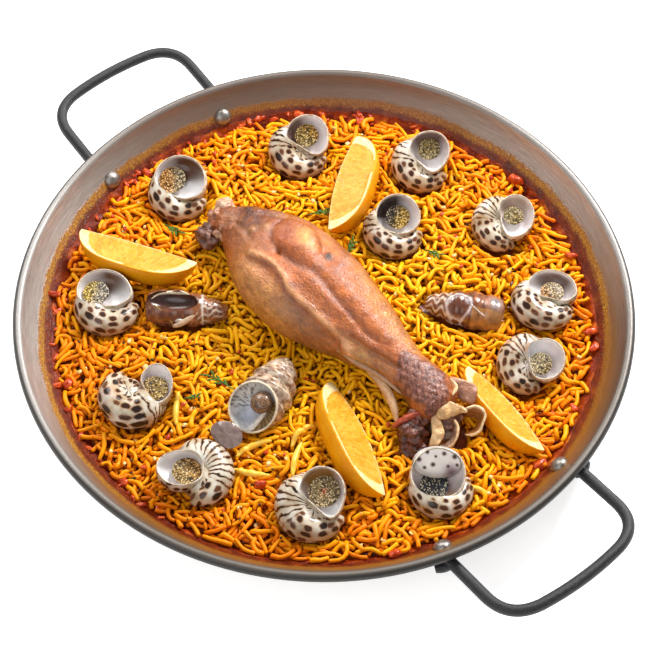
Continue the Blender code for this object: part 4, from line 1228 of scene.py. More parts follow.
# x, y, z of the core edge's middle, heading, roll, half length, radius, bow of the core edge (mm and degrees)
wedgeTable = (
    (-114, -67, 35.5, 213, 75, 42, 24, 1.5),
    (-76, 74, 33, -51, 85, 42, 23, 5),
    (87, -40, 27, 164, 101, 44.5, 21, 6.5),
    (126, 48, 26, 178, 94, 38.5, 17.5, 5),
)
wedge = {"halfAngle": math.radians(31), "stations": 90, "tip": 0.985, "face": 20, "arc": 24, "pith": 1.7,
         "fleshEnd": 0.84, "sac": 1.5}


def lemonMaterial():
    lemon = Finish("cutLemon", 0.34, {"Specular IOR Level": 0.35, **glow(0.2, (1.0, 0.6, 0.15), 0.003)})
    uv, zone = lemon.uv(), lemon.channels(lemon.attribute("zone"))
    bent = lemon.vector("ADD", uv, lemon.node("TexNoise", {"Vector": uv, "Scale": 0.7, "Detail": 2})["Color"])
    sacs = lemon.cells(bent, 1.0, 0.95, voronoi_dimensions="2D", feature="DISTANCE_TO_EDGE")["Distance"]
    tone = lemon.channels(lemon.cells(bent, 1.0, 0.95, voronoi_dimensions="2D")["Color"])[0]
    clouds, pores = lemon.noise(60), lemon.cells(lemon.coords, 620, 0.9)["Distance"]
    flesh = lemon.ramp(lemon.plus(lemon.times(tone, 0.5), lemon.times(clouds, 0.5)),
                       (0.25, (0.74, 0.28, 0.008)), (0.5, (0.82, 0.345, 0.018)), (0.75, (0.88, 0.43, 0.050)))
    flesh = lemon.mixed(lemon.spread(sacs, 0.0, 0.10, 0.22, 0), flesh, (0.94, 0.60, 0.18))
    rind = lemon.ramp(clouds, (0.3, (0.78, 0.27, 0.002)), (0.6, (0.87, 0.38, 0.004)), (0.8, (0.92, 0.47, 0.010)))
    rind = lemon.mixed(lemon.spread(pores, 0.12, 0.3, 0.25, 0), rind, (0.62, 0.26, 0.006))
    pith = lemon.ramp(lemon.noise(260, 3, 0.6), (0.3, (0.86, 0.60, 0.20)), (0.7, (0.91, 0.78, 0.48)))
    colour = lemon.mixed(lemon.spread(zone[1], 0.3, 0.7), lemon.mixed(zone[0], rind, flesh), pith)
    relief = lemon.bump(lemon.times(zone[0], lemon.spread(sacs, 0, 0.16, 0, 1)), 0.28, 0.0005)
    dimples = lemon.times(lemon.maths("SUBTRACT", 1.0, zone[0]), lemon.spread(pores, 0.1, 0.4, 0, 1))
    return lemon.surface(colour, lemon.spread(clouds, 0.3, 0.7, 0.24, 0.4),
                         lemon.bump(dimples, 0.35, 0.0004, relief))


def wedgeSection(t, radius, bow):
    # down a cut face, round the rind, back up the other; each point with its share of the way out and its side
    half, count = wedge["halfAngle"], wedge["face"]
    reach = radius * (1 - abs(t) ** 3.0) ** 0.62
    core = (1 - t * t) * bow
    wide, deep = math.sin(half) * reach, -math.cos(half) * reach - core
    shares = [(k + 0.5) / count for k in range(count)]
    cuts = [[(side * wide * share, core + deep * share, share, side) for share in shares] for side in (-1, 1)]
    rind = []
    for k in range(wedge["arc"] + 1):
        angle = half * (2 * k / wedge["arc"] - 1)
        soft = reach * (1 - 0.018 * (abs(angle) / half) ** 8)
        rind.append((soft * math.sin(angle), -soft * math.cos(angle), 1.0, 0))
    return [*cuts[0], *rind, *reversed(cuts[1])], reach


def makeLemon(index, material):
    x, y, z, along, roll, halfLength, radius, bow = wedgeTable[index]
    bm = bmesh.new()
    rings, zones = [], []
    for step in range(wedge["stations"] + 1):
        t = wedge["tip"] * (2 * step / wedge["stations"] - 1)
        section, reach = wedgeSection(t, radius, bow)
        # the flesh ends inside the pith, which is uneven
        taper = (1 - min(1, abs(t) / wedge["fleshEnd"]) ** 3.2) ** 0.6
        fleshReach = radius * taper - wedge["pith"] * (1 + 0.25 * math.sin(7 * t + index))
        ring = []
        for a, b, share, side in section:
            out = share * reach
            inFlesh = float(side and out < fleshReach and abs(t) < wedge["fleshEnd"])
            inPith = float(side and not inFlesh and out < reach - 0.7)
            if side and share < 0.06:
                inPith = 0.6
            wave = 0.05 * math.sin(1.1 * out + 9 * t + 3 * math.sin(14 * t))
            lift = inFlesh * (wave - 0.35 * min(1, out / 2))
            rough = 0.10 * math.sin(40 * t + 3.1 * a) * (1 - abs(side)) / radius
            spot = (halfLength * t, a * (1 + rough) + side * lift * 0.86, b + lift * 0.5 * abs(side))
            ring.append(bm.verts.new(spot))
            zones.append((inFlesh, inPith, 0))
        rings.append((ring, t, [share for a, b, share, side in section]))
    for (first, t0, shares0), (second, t1, shares1) in zip(rings, rings[1:]):
        for k in range(len(first)):
            after = (k + 1) % len(first)
            face = bm.faces.new((first[k], first[after], second[after], second[k]))
            corners = ((t0, shares0[k]), (t0, shares0[after]), (t1, shares1[after]), (t1, shares1[k]))
            setUvs(bm, face, [(t * halfLength / wedge["sac"] * (0.55 + 0.45 * share), share * 5)
                              for t, share in corners])
    for ring in (rings[0][0], rings[-1][0]):
        bmesh.ops.contextual_create(bm, geom=ring)
    outwards(bm)
    mesh = meshOf(bm, "lemon")
    mesh.transform(standing(x, y, z, along) @ Matrix.Rotation(math.radians(roll), 4, "X") @ Matrix.Scale(mm, 4))
    paintPoints(mesh, "zone", zones)
    finishPiece(mesh, f"lemon_slice_{index + 1}", [material], f"lemon_wedge_{index + 1}", 42)


lemon = lemonMaterial()
for index in range(len(wedgeTable)):
    makeLemon(index, lemon)
print("lemons made")


# shank

# stations along X: x, middle y and z, half width, half height (mm)
shankStations = (
    (-104, -12, 34, 7, 6), (-96, -9, 35, 14, 11), (-84, -4, 37, 18, 14.5), (-68, -3, 39.5, 26, 19),
    (-50, -3.5, 42, 33, 23.5), (-28, -3.5, 43.5, 36.5, 26), (-6, -2, 43.5, 36, 26), (16, 2, 42, 31, 23.5),
    (35, 6, 40.5, 24.5, 20), (52, 8.5, 39.5, 18.5, 16.5), (70, 10.5, 38.5, 13.5, 13.5), (84, 11.5, 37.5, 14, 13),
    (96, 12, 36, 16.5, 13.5), (105, 11.5, 35.5, 14, 12), (109, 11, 35, 9, 8))
# ridges (raised) and grooves (sunk) seen from above: their path, width and height
shankStrokes = (
    (((-49, -23), (-39, -20), (-29, -18), (-18, -19), (-9, -22), (1, -21), (11, -19), (20, -17), (29, -15)),
     1.7, 1.3),
    (((-56, -30), (-45, -27), (-30, -25), (-10, -29), (8, -27), (24, -22), (36, -17)), 4.5, -1.0),
    (((-50, -17), (-35, -13), (-20, -13), (-5, -15), (12, -12), (30, -8)), 3.5, -0.7),
    (((-35, -10), (-20, -8), (-9, -3), (0, -2), (12, -2), (20, -2), (31, -1), (42, -1), (51, 2)), 2.6, -1.5),
    (((-57, 8), (-55, -1), (-47, -8), (-35, -10)), 2.0, -1.8),
    (((-52, 19), (-42, 22), (-26, 19), (-16, 12)), 2.2, -1.4),
    (((38, -15), (47, -12), (57, -8), (67, -4), (76, -2)), 1.7, 1.7),
    (((40, -9), (52, -5), (64, 0), (74, 3)), 1.8, -1.5),
    (((0, 10), (18, 9), (36, 9), (54, 10)), 6.0, 0.9),
    (((-46, 12), (-40, 4), (-33, 0)), 0.9, -0.9),
    (((-43, 15), (-37, 7), (-29, 2)), 0.9, -0.9),
    (((-48, 8), (-43, 0), (-37, -4)), 0.9, -0.8),
    (((-80, -12), (-66, -13), (-58, -16)), 2.0, -1.2),
    (((-74, 4), (-66, 9), (-60, 14)), 2.0, -1.3),
)
# lumps: x, y, half length, half width, turn, height
shankLumps = (
    (-35, 7, 19, 11.5, -12, 4.6), (-57, -2, 4.5, 3.5, 0, 1.8), (-64, -10, 3.5, 3, 0, 1.5),
    (-12, 13, 2.6, 2.2, 0, 0.9), (-80, 3, 6, 4, 20, 1.5), (-72, -14, 6, 3.5, -20, 1.2),
    (-69, 13, 7, 3.5, 30, 1.2), (88, 11, 22, 11, 0, 1.6), (-5, 20, 12, 7, -10, 1.6), (-20, -31, 24, 6, 5, 1.2))
# patches of colour from above: x, y, half length, half width, turn, strength, colour; the purple-grey patch at
# (20, -25) is painted shade
shankPatches = (
    (10, 0, 46, 15, 8, 0.9, (0.50, 0.16, 0.040)), (30, 4, 34, 12, 8, 0.6, (0.54, 0.18, 0.05)),
    (-12, -9, 34, 7, 4, 0.6, (0.46, 0.15, 0.045)), (20, 22, 26, 8, -6, 0.8, (0.66, 0.33, 0.13)),
    (55, 19, 24, 6, 4, 0.8, (0.66, 0.34, 0.16)), (-28, -36, 34, 9, 6, 0.8, (0.68, 0.38, 0.20)),
    (-2, -38, 52, 9, 8, 0.7, (0.66, 0.38, 0.21)), (-8, -30, 30, 7, 6, 0.55, (0.46, 0.25, 0.17)),
    (20, -25, 28, 6, 12, 0.85, (0.33, 0.16, 0.115)), (-48, -26, 14, 8, -10, 0.6, (0.60, 0.31, 0.17)),
    (-80, -3, 22, 18, 0, 1.0, (0.10, 0.035, 0.026)), (-64, 13, 16, 11, 20, 0.9, (0.15, 0.050, 0.030)),
    (-58, 18, 16, 5, 20, 0.8, (0.50, 0.24, 0.11)), (-88, -12, 9, 7, 0, 0.5, (0.46, 0.22, 0.14)),
    (-62, -16, 12, 6, 0, 0.7, (0.34, 0.17, 0.13)), (-36, 6, 21, 13, -12, 0.95, (0.40, 0.10, 0.022)),
    (-31, 8, 10, 5, -16, 0.9, (0.90, 0.58, 0.30)), (-57, -2, 5, 4, 0, 0.8, (0.60, 0.36, 0.26)),
    (-64, -10, 3.5, 3, 0, 0.7, (0.50, 0.30, 0.22)), (-11, 12, 3.6, 2.8, 0, 1.0, (0.035, 0.010, 0.006)),
    (72, -2, 26, 5, 12, 0.7, (0.32, 0.15, 0.08)), (52, -9, 20, 3, 12, 0.7, (0.60, 0.38, 0.22)),
    (2, 12, 10, 5, -10, 0.6, (0.34, 0.09, 0.025)), (-22, 20, 14, 4, -14, 0.6, (0.60, 0.28, 0.12)))
# painted shade along some grooves, and a pale mauve line along one ridge that is partly painted highlight: path,
# width, colour
shankShadeAndHighlightLines = (
    (((-35, -10), (-20, -8), (-9, -3), (0, -2), (12, -2), (20, -2), (31, -1)), 2.0, (0.22, 0.06, 0.02)),
    (((-57, 8), (-55, -1), (-47, -8), (-35, -10)), 1.8, (0.24, 0.07, 0.025)),
    (((-49, -23), (-39, -20), (-29, -18), (-18, -19), (-9, -22), (1, -21), (11, -19), (20, -17), (29, -15),
      (45, -12)), 1.6, (0.80, 0.48, 0.42)),
    (((-47, -26), (-38, -23), (-28, -21), (-17, -22), (-8, -25), (2, -24), (12, -22)), 1.2, (0.30, 0.10, 0.08)))
# the crust: place, half size, colour, and the colour of its pale blotches, which are painted sparkle highlights
crust = {"place": (90, 8.5), "half": (21, 12.5), "colour": (0.13, 0.030, 0.016), "bright": (0.40, 0.165, 0.115)}
shank = {"rings": 200, "sides": 112, "bulge": 0.93, "skin": (0.40, 0.125, 0.036), "tint": (1.10, 0.96, 0.52),
         "under": (0.42, 0.20, 0.10), "facing": (0.4575, -0.3507, 0.8172)}
peach, cream, brown, grey = (0.80, 0.46, 0.24), (0.95, 0.72, 0.42), (0.20, 0.06, 0.02), (0.26, 0.15, 0.11)
# tendons: path and radii, colour
tendons = (
    (((44, -7, 37), (56, -7, 36.5), (68, -7, 36), (79, -9, 35.5), (88, -12, 34.5), (96, -16.5, 32)),
     (2.4, 3.0, 3.2, 3.2, 2.9, 1.8), (0.62, 0.38, 0.20)),
    (((30, -17, 44), (48, -13, 42), (66, -6, 40), (84, -3, 38)), (1.6, 1.9, 1.8, 1.5), (0.56, 0.34, 0.20)))
# lumps of meat: place, half size, colour, seed, roughness, size of the waves, second colour
thickEnd = (
    ((-103, -5, 40), (6.5, 6.5, 6), (0.60, 0.32, 0.21), 21, 0.10, 5, (0.78, 0.52, 0.38)),
    ((-99, -12, 38), (7, 8, 7), (0.30, 0.10, 0.05), 22, 0.2, 5, (0.52, 0.26, 0.15)),
    ((-93, -26, 33), (8.5, 7.5, 7.5), (0.12, 0.045, 0.03), 23, 0.22, 6, (0.26, 0.13, 0.10)),
    ((-100, -24, 30), (5, 4.5, 4.5), (0.16, 0.06, 0.04), 24, 0.26, 5, (0.32, 0.16, 0.12)),
    ((-86, -17, 40), (6, 7, 6), (0.36, 0.15, 0.08), 25, 0.2, 5, (0.60, 0.33, 0.20)),
    # the dark sticky chunk under the shin
    ((105, -11, 28), (10, 10, 9), (0.055, 0.010, 0.005), 31, 0.16, 6, (0.17, 0.040, 0.02)),
    ((111, -15, 24), (8, 9, 6), (0.050, 0.009, 0.005), 32, 0.18, 5, (0.14, 0.030, 0.015)),
    ((101, -3, 33), (7, 7, 6), (0.16, 0.035, 0.014), 33, 0.14, 5, (0.30, 0.09, 0.04)))
redEdge = (((96, -21, 31), (98, -13, 35.5), (101, -5, 38), (104, -1, 38)), (1.5, 2.3, 1.9, 1.1),
           (0.42, 0.050, 0.008))
# the frilled, curled end of the skin: two edges, thickness, outer, inner and edge colour, seed, ruffle; the
# darker of the outer and inner colour is the inside of the curl, its own colour with painted shade
frills = (
    (((91, 25, 42), (98, 31, 42), (106, 37, 40), (111, 37, 37)),
     ((98, 21, 35), (104, 23, 35), (111, 27, 33), (116, 30, 32)),
     7, (0.48, 0.23, 0.15), brown, (0.74, 0.42, 0.26), 41, 0.8),
    (((96.3, 25, 47), (104, 25, 46), (106.5, 20, 45), (106, 13, 43)),
     ((97, 22, 42), (101, 22.5, 41), (102.4, 19, 40), (103.6, 13, 39)), 2.6, peach, brown, cream, 42, 0.3),
    (((105, 3.5, 42), (107.7, 8, 43), (108, 14.5, 43), (112.6, 18, 42), (119, 21.5, 39)),
     ((107, 4, 38), (112.6, 6.2, 36.5), (115, 11, 36), (116.5, 15.8, 37), (118.8, 21, 37)),
     3.2, (0.90, 0.58, 0.28), brown, (0.94, 0.68, 0.38), 43, 0.7),
    (((115, 19, 37), (116.4, 24, 38), (118.1, 28, 38.5), (122.8, 30.5, 38.5), (127, 29.7, 37), (130, 25, 35),
      (131.5, 20.8, 32), (129.5, 17, 29), (126, 13.5, 27)),
     ((114, 22, 27), (116, 24.5, 26), (118.5, 26.5, 26), (121.2, 27.5, 26), (123, 27, 25), (124.5, 25, 24),
      (125, 22, 23), (124.5, 19.5, 22), (122.8, 16.5, 22)), 2.6, (0.40, 0.14, 0.035), peach, cream, 44, 0.4),
    (((105.5, 5, 38), (109.2, 0, 36), (115, -4, 32.5), (119, -10, 27.5)),
     ((109.5, 6, 37), (114, 4.6, 35.5), (120.6, 1.5, 32), (122.5, -7.8, 26)),
     3.0, (0.86, 0.56, 0.28), grey, (0.92, 0.66, 0.36), 45, 0.6),
    (((113, 12, 36), (120.8, 12.2, 34.5), (127.3, 6, 31), (126.5, -2.2, 27), (122, -8, 25.5)),
     ((112, 10, 29), (118, 10, 27), (121.5, 6.8, 25), (121.8, 1.5, 24), (120.5, -2, 24)),
     2.6, (0.40, 0.24, 0.17), (0.70, 0.42, 0.22), (0.90, 0.60, 0.32), 46, 0.4))


def strokeShare(spots, path, width):
    # 1 along a path of (x, y) points, falling off to both sides
    best = np.full(len(spots), 1e9)
    for first, second in zip(path, path[1:]):
        start = np.array(first, float)
        step = np.array(second, float) - start
        t = np.clip(((spots - start) @ step) / (step @ step), 0, 1)
        best = np.minimum(best, np.linalg.norm(spots - start - t[:, None] * step, axis=1))
    return bell(best / width)


def blobShare(spots, x, y, halfLength, halfWidth, turn, power):
    angle = math.radians(turn)
    dx, dy = spots[:, 0] - x, spots[:, 1] - y
    along = (dx * math.cos(angle) + dy * math.sin(angle)) / halfLength
    across = (-dx * math.sin(angle) + dy * math.cos(angle)) / halfWidth
    return np.exp(-(along ** 2 + across ** 2) ** power)


def squared(wave, power):
    # a sine or cosine made squarer or rounder
    return np.sign(wave) * np.abs(wave) ** power


def crustAmount(points):
    (x, y), (halfLength, halfWidth) = crust["place"], crust["half"]
    away = np.hypot((points[:, 0] - x) / halfLength, (points[:, 1] - y) / halfWidth) + 0.16 * waves(points, 9, 4)
    return np.clip((1.05 - away) / 0.16, 0, 1) * np.clip((points[:, 2] - 33) / 6, 0, 1)


def shankBody(parts):
    rings, sides = shank["rings"], shank["sides"]
    table = smoothTable(shankStations, rings)
    across, level = (squared(wave(circleOf(sides)), shank["bulge"]) for wave in (np.cos, np.sin))
    section = np.stack([np.zeros(sides), across, level], axis=-1)
    normals = np.repeat(section[None], rings, axis=0)
    points = (table[:, None, :3] + normals * table[:, None, [0, 3, 4]]).reshape(-1, 3)
    normals = (normals / np.linalg.norm(normals, axis=2, keepdims=True)).reshape(-1, 3)
    spots = points[:, :2].copy()
    top = np.clip((np.tile(np.sin(circleOf(sides)), rings) + 0.05) / 0.35, 0, 1)
    crustShare = crustAmount(points)
    lift = crustShare * (0.5 + 0.22 * waves(points, 2.2, 5))
    lift += 0.4 * waves(points, 16, 6) + 0.16 * waves(points, 4, 7)
    lift += np.clip((-70 - points[:, 0]) / 25, 0, 1) * 1.2 * waves(points, 9, 8)
    for path, width, height in shankStrokes:
        lift += 1.4 * height * strokeShare(spots, path, width)
    for *blob, height in shankLumps:
        lift += height * blobShare(spots, *blob, 1.6)
    points = points + normals * (lift * (0.25 + 0.75 * top))[:, None]
    paint = plainPaint(points, shank["skin"]) * (1 + 0.22 * waves(points, 22, 9))[:, None]
    for *blob, strength, colour in shankPatches:
        uneven = 0.85 + 0.3 * waves(points, 8, blob[0] + 300)
        paint = blend(paint, strength * blobShare(spots, *blob, 1.2) * uneven, colour)
    # painted shade in the grooves and a partly painted highlight on the ridge, on the upper side
    for path, width, colour in shankShadeAndHighlightLines:
        paint = blend(paint, 0.9 * strokeShare(spots, path, width) * top, colour)
    paint = blend(paint, (1 - top) * 0.4, shank["under"])
    speckled = 1 + 0.13 * waves(points, 5, 12) + 0.11 * waves(points, 2.2, 13)
    paint = paint ** 1.05 * np.array(shank["tint"]) * speckled[:, None]
    # the crust's pale pinkish grey blotches are painted sparkle highlights on its grains
    crustPaint = blend(plainPaint(points, crust["colour"]), 0.35 + 0.8 * waves(points, 2.4, 11), crust["bright"])
    paint = blend(paint, crustShare, crustPaint)
    parts.add(pinchedEnds(points, rings, sides, 0.02), gridQuads(rings, sides), paint)


def tubePart(parts, path, radii, colour, sides=16, rings=40, rough=0.0, seed=1):
    table = smoothTable(np.column_stack([path, radii]), rings)
    shape = np.maximum(np.sin(np.linspace(0, math.pi, rings)) ** 0.25, 0.05)
    points, quads = tubeArrays(table[None, :, :3], (table[:, 3] * shape)[None], sides)
    if rough:
        middle = np.repeat(table[:, :3], sides, axis=0)
        points = middle + (points - middle) * (1 + rough * waves(points, 3.0, seed))[:, None]
    parts.add(points, quads, colour)


def lumpPart(parts, place, half, colour, seed, rough, size, second=None):
    rows, columns = 28, 40
    points = ballPoints(rows, columns) * np.array(half)
    lumps = rough * waves(points, size, seed) + 0.35 * rough * waves(points, size * 0.4, seed + 1)
    points *= (1 + lumps)[:, None]
    paint = plainPaint(points, colour)
    if second:
        paint = blend(paint, 0.5 + 0.9 * waves(points, size, seed + 2), second)
    parts.add(points + np.array(place), gridQuads(rows, columns), paint)


def sheetPart(parts, upper, lower, thickness, outer, inner, edge, seed, ruffle):
    # a thick soft sheet between two curves, with rounded rims; the outer paint is on the side towards the front,
    # and whichever paint is darker marks the inside of the curl, with painted shade
    rows, columns = 40, 28
    first, second = smoothTable(upper, rows), smoothTable(lower, rows)
    middle, reach = (first + second) / 2, (first - second) / 2
    normal = np.cross(np.gradient(middle, axis=0), reach)
    normal /= np.linalg.norm(normal, axis=1, keepdims=True) + 1e-9
    facing = np.sign(normal @ np.array(shank["facing"]))
    normal *= np.where(facing == 0, 1, facing)[:, None]
    cosine, sine = np.cos(circleOf(columns)), np.sin(circleOf(columns))
    ends = np.clip(np.sin(np.linspace(0.06, math.pi - 0.06, rows)) * 2.5, 0, 1)[:, None, None]
    points = middle[:, None] + reach[:, None] * squared(cosine, 0.7)[None, :, None] * (0.6 + 0.4 * ends)
    points = points + normal[:, None] * (squared(sine, 0.7)[None, :, None] * thickness / 2 * ends)
    points = points.reshape(-1, 3)
    folds = ruffle * waves(points, 9, seed) + 0.3 * ruffle * waves(points, 3, seed + 1)
    points = points + np.repeat(normal, columns, axis=0) * folds[:, None]
    paint = np.where(sine[:, None] > 0, np.array(outer), np.array(inner))
    paint = np.tile(blend(paint, (cosine - 0.72) / 0.12, edge), (rows, 1))
    paint = paint * (1 + 0.16 * waves(points, 6, seed + 2))[:, None]
    parts.add(pinchedEnds(points, rows, columns, 0.1), gridQuads(rows, columns), paint)


def meatMaterial():
    meat = Finish("roastedMeat", 0.34, {**coat(0.5, 0.42, 0.15), **glow(0.15, (1.0, 0.35, 0.2), 0.003)})
    mottle, fine = meat.noise(120, 5, 0.65), meat.noise(620, 3, 0.6)
    fibre = meat.noise(300, 4, 0.6, meat.scaled((0.25, 1, 1)))
    shade = meat.ramp(mottle, (0.3, (0.68, 0.57, 0.46)), (0.5, (1.0, 0.94, 0.86)), (0.72, (1.15, 1.18, 1.15)))
    colour = meat.mixed(1.0, meat.attribute("paint"), shade, "MULTIPLY")
    colour = meat.mixed(meat.spread(fine, 0.60, 0.80, 0, 0.16), colour, (0.74, 0.34, 0.12))
    colour = meat.mixed(meat.spread(fibre, 0.52, 0.70, 0, 0.3), colour, (0.26, 0.06, 0.015))
    relief = meat.bump(fine, 1.0, 0.0010, meat.bump(mottle, 0.4, 0.0014))
    relief = meat.bump(meat.cells(meat.coords, 480, 1.0)["Distance"], 0.2, 0.0004, relief)
    grease = meat.noise(850, 3, 0.6, meat.scaled((0.6, 1, 1)))
    meat.apply({"Coat Normal": meat.bump(grease, 0.9, 0.0005)})
    return meat.surface(colour, meat.spread(fine, 0.3, 0.7, 0.16, 0.50), relief)


def makeShank(material):
    parts = MeshParts()
    shankBody(parts)
    for tendon in tendons:
        tubePart(parts, *tendon)
    for lump in thickEnd:
        lumpPart(parts, *lump)
    tubePart(parts, *redEdge, 14, 40, 0.2, 34)
    lumpPart(parts, (111, 13, 30), (9, 11, 7), (0.09, 0.025, 0.010), 35, 0.15, 6, (0.20, 0.06, 0.02))
    for frill in frills:
        sheetPart(parts, *frill)
    lumpPart(parts, (114, 5, 26), (8, 7, 5), grey, 47, 0.08, 6, (0.40, 0.26, 0.20))
    finishPiece(parts.finish("shank"), "roast_shank", [material], "shank", 70)


makeShank(meatMaterial())
print("shank made")


# the tall snail and the two dark ones

tall = {"place": (29, -70, 31), "heading": 294, "spire": 44, "radius": 16.5, "front": 15,
        "sides": 96, "rings": 110, "mouth": 16.2, "lean": 38, "cup": (10, 0, 9), "shift": 3.6, "wall": 0.8,
        "pitch": 9.5,
        "cupProfile": ((1, 0), (1.01, -2), (0.99, -5), (0.92, -9), (0.78, -13), (0.5, -17), (0.1, -18.5)),
        "flap": ((0.02, 0.7), (0.5, 0.8), (0.85, 0.6), (1, 0), (0.85, -0.6), (0.02, -0.7)),
        "fold": ((-5, 8, -1.5), (0, 8.2, -0.5), (6, 6.8, -0.8), (12, 5, -1.2), (15.5, 4, -0.6))}
# level and share of the mouth's outline down the hollow
cavityTable = ((-9.0, 0.10), (-8.9, 0.3), (-8.5, 0.45), (-7.8, 0.6), (-6.6, 0.74), (-5, 0.86), (-3.2, 0.95),
               (-1.5, 0.99), (0, 1), (1, 1))
# the dark snails: x, y, base height, heading, length, kind
darkSnails = ((-57, -67, 26, 228, 54, 1), (50, 74, 26, 40, 52, 2))
spindle = {"radius": 12.6, "front": 28.5, "sides": 96, "rings": 130, "pitch": 9}
hollow = {"middle": (11, 1, 10.5), "half": (17, 7.6, 7.5), "rows": 24, "columns": 48}
# soft parts of each kind: path, radii, colour, sides, rings
darkTubes = {
    1: ((((25, -1, 7.5), (20, -5.2, 8.2), (13, -6.6, 8.6), (5, -6.6, 9.2), (0, -5, 10)),
         (0.5, 0.9, 1.2, 1.5, 0.7), (0.80, 0.66, 0.46), 10, 30),
        (((-7, 6, 7), (-2, 10, 5), (4, 13.5, 3), (9, 15.5, 2)),
         (1.5, 1.8, 2.0, 1.6), (0.62, 0.42, 0.27), 12, 30),
        (((29, -5, 4), (22, 2, 5), (13, 9, 4.5), (9, 15, 3)),
         (0.3, 0.35, 0.35, 0.3), (0.56, 0.36, 0.10), 8, 30)),
    2: ((((6, -3, 12.2), (10, -5.5, 11), (16, -8, 8.5), (24, -8.2, 5.5), (29, -6, 3.5)),
         (0.4, 0.6, 0.6, 0.55, 0.4), (0.66, 0.52, 0.44), 8, 36),
        (((15, 6, 8.6), (21, 5, 7.6), (26, 0, 6.2), (28.5, -5, 4)),
         (0.4, 0.6, 0.7, 0.4), (0.50, 0.48, 0.46), 8, 30)),
}


def glossShellMaterial():
    gloss = Finish("mottledShell", 0.24, coat(0.45, 0.2, 0.08))
    clouds = gloss.noise(240, 4, 0.6)
    colour = gloss.mixed(1.0, gloss.attribute("paint"), gloss.ramp(clouds, (0.3, 0.62), (0.7, 1.15)), "MULTIPLY")
    return gloss.surface(colour, gloss.spread(clouds, 0.3, 0.7, 0.14, 0.3), gloss.bump(clouds, 0.25, 0.0005))


def spunGrid(profile, sides, count):
    # profile of (along, radius) points, smoothly resampled, turned about X
    table = smoothTable(profile, count)
    angle = circleOf(sides)
    around = (np.outer(table[:, 1], np.cos(angle)).ravel(), np.outer(table[:, 1], np.sin(angle)).ravel())
    return np.stack([np.repeat(table[:, 0], sides), *around], axis=1), np.tile(angle, count)


def gridMesh(points, quads, paint, name):
    mesh = meshFromArrays(name, points, quads)
    paintPoints(mesh, "paint", paint)
    bm = bmesh.new()
    bm.from_mesh(mesh)
    bmesh.ops.holes_fill(bm, edges=[edge for edge in bm.edges if edge.is_boundary], sides=0)
    outwards(bm)
    bm.to_mesh(mesh)
    bm.free()
    return mesh


def whorlProfile(length, radius, front, whorls=4):
    profile = [(front, 0.05), (front - 0.4, radius * 0.5)]
    steps = 4 * whorls
    for step in range(steps + 1):
        t = step / steps
        bulge = 0.90 + 0.10 * math.sin(math.pi * ((step % 4) / 4)) if step else 0.92
        reach = radius * math.sin(math.pi * min(1, 0.30 + 0.62 * t)) ** 0.75
        profile.append((front - 2 - (length - 2) * t, reach * bulge))
    profile.append((front - length - 1.2, 0.05))
    return profile


def tallOutline(radius, angle):
    # the mouth's slightly uneven outline
    return radius * (1 + 0.05 * np.cos(angle) + 0.03 * np.cos(2 * angle + 0.6))


def cupGrid(radius, profile, sides=72):
    angle = circleOf(sides)
    points = np.array(ringsAt(list(zip(angle, tallOutline(radius, angle))), profile)).reshape(-1, 3)
    return points, gridQuads(len(profile), sides)


def repaint(mesh, mask, colours):
    data = mesh.color_attributes["paint"].data
    values = np.empty(4 * len(data), np.float32)
    data.foreach_get("color", values)
    paintPoints(mesh, "paint", np.where(mask[:, None], colours, values.reshape(-1, 4)[:, :3]))


def spirePaint(points):
    x = points[:, 0]
    angle = np.arctan2(points[:, 2], points[:, 1] - 1.5 - 0.03 * x)
    whorl = (tall["front"] - x) / tall["pitch"] + angle / math.tau
    band = whorl % 1
    paint = plainPaint(x, (0.72, 0.54, 0.36))
    paint = blend(paint, 0.8 * (0.4 + 0.9 * waves(points, 7, 51)), (0.36, 0.21, 0.14))
    first = np.clip(np.sin(angle * 11 + np.floor(whorl) * 2 + 1.2 * np.sin(whorl * 9)) * 3 - 0.4, 0, 1)
    paint = blend(paint, 0.95 * first * bell((band - 0.34) / 0.15), (0.12, 0.045, 0.018))
    second = np.clip(np.sin(angle * 9 + np.floor(whorl) * 3 + 2 + 1.5 * np.sin(whorl * 7)) * 3 - 0.4, 0, 1)
    paint = blend(paint, 0.9 * second * bell((band - 0.72) / 0.15), (0.30, 0.12, 0.05))
    paint = blend(paint, 0.9 * bell(np.minimum(band, 1 - band) / 0.045), (0.13, 0.065, 0.04))
    return blend(paint, 0.4 * (waves(points, 3.2, 54) > 0.45), (0.90, 0.82, 0.70))


def mouthPaint(u, v):
    inside = plainPaint(u, (0.92, 0.88, 0.82))
    inside = blend(inside, bell(((u - 7) / 8.5) ** 2 + ((v + 3) / 8) ** 2), (0.60, 0.64, 0.76))
    # painted shadow: a dark patch where the hollow goes deep
    inside = blend(inside, 0.95 * bell(np.hypot((u + 3) / 6.5, (v - 2) / 6)), (0.035, 0.018, 0.012))
    lines = np.clip(np.sin(u * 2.2 + 2.2 * np.sin(v * 0.8)) * 3 - 1.2, 0, 1)
    inside = blend(inside, 0.85 * (v < -5) * (u < 6) * lines, (0.05, 0.03, 0.025))
    right = v > 7.5 - 0.3 * u
    inside = blend(inside, 0.95 * right, (0.52, 0.30, 0.07))
    return blend(inside, 0.75 * right * (np.sin(np.arctan2(v, u) * 30) > 0.1), (0.13, 0.055, 0.012))


def finishLying(mesh, parts, place, name, material, replaced):
    # joins the soft parts to the shell and lays the whole down; the shell is in mm
    bm = bmesh.new()
    bm.from_mesh(mesh)
    extra = parts.finish("extra")
    extra.transform(Matrix.Scale(1 / mm, 4))
    bm.from_mesh(extra)
    bmesh.ops.transform(bm, verts=bm.verts[:], matrix=place @ Matrix.Scale(mm, 4))
    finishPiece(meshOf(bm, name), name, [material], replaced, 45)


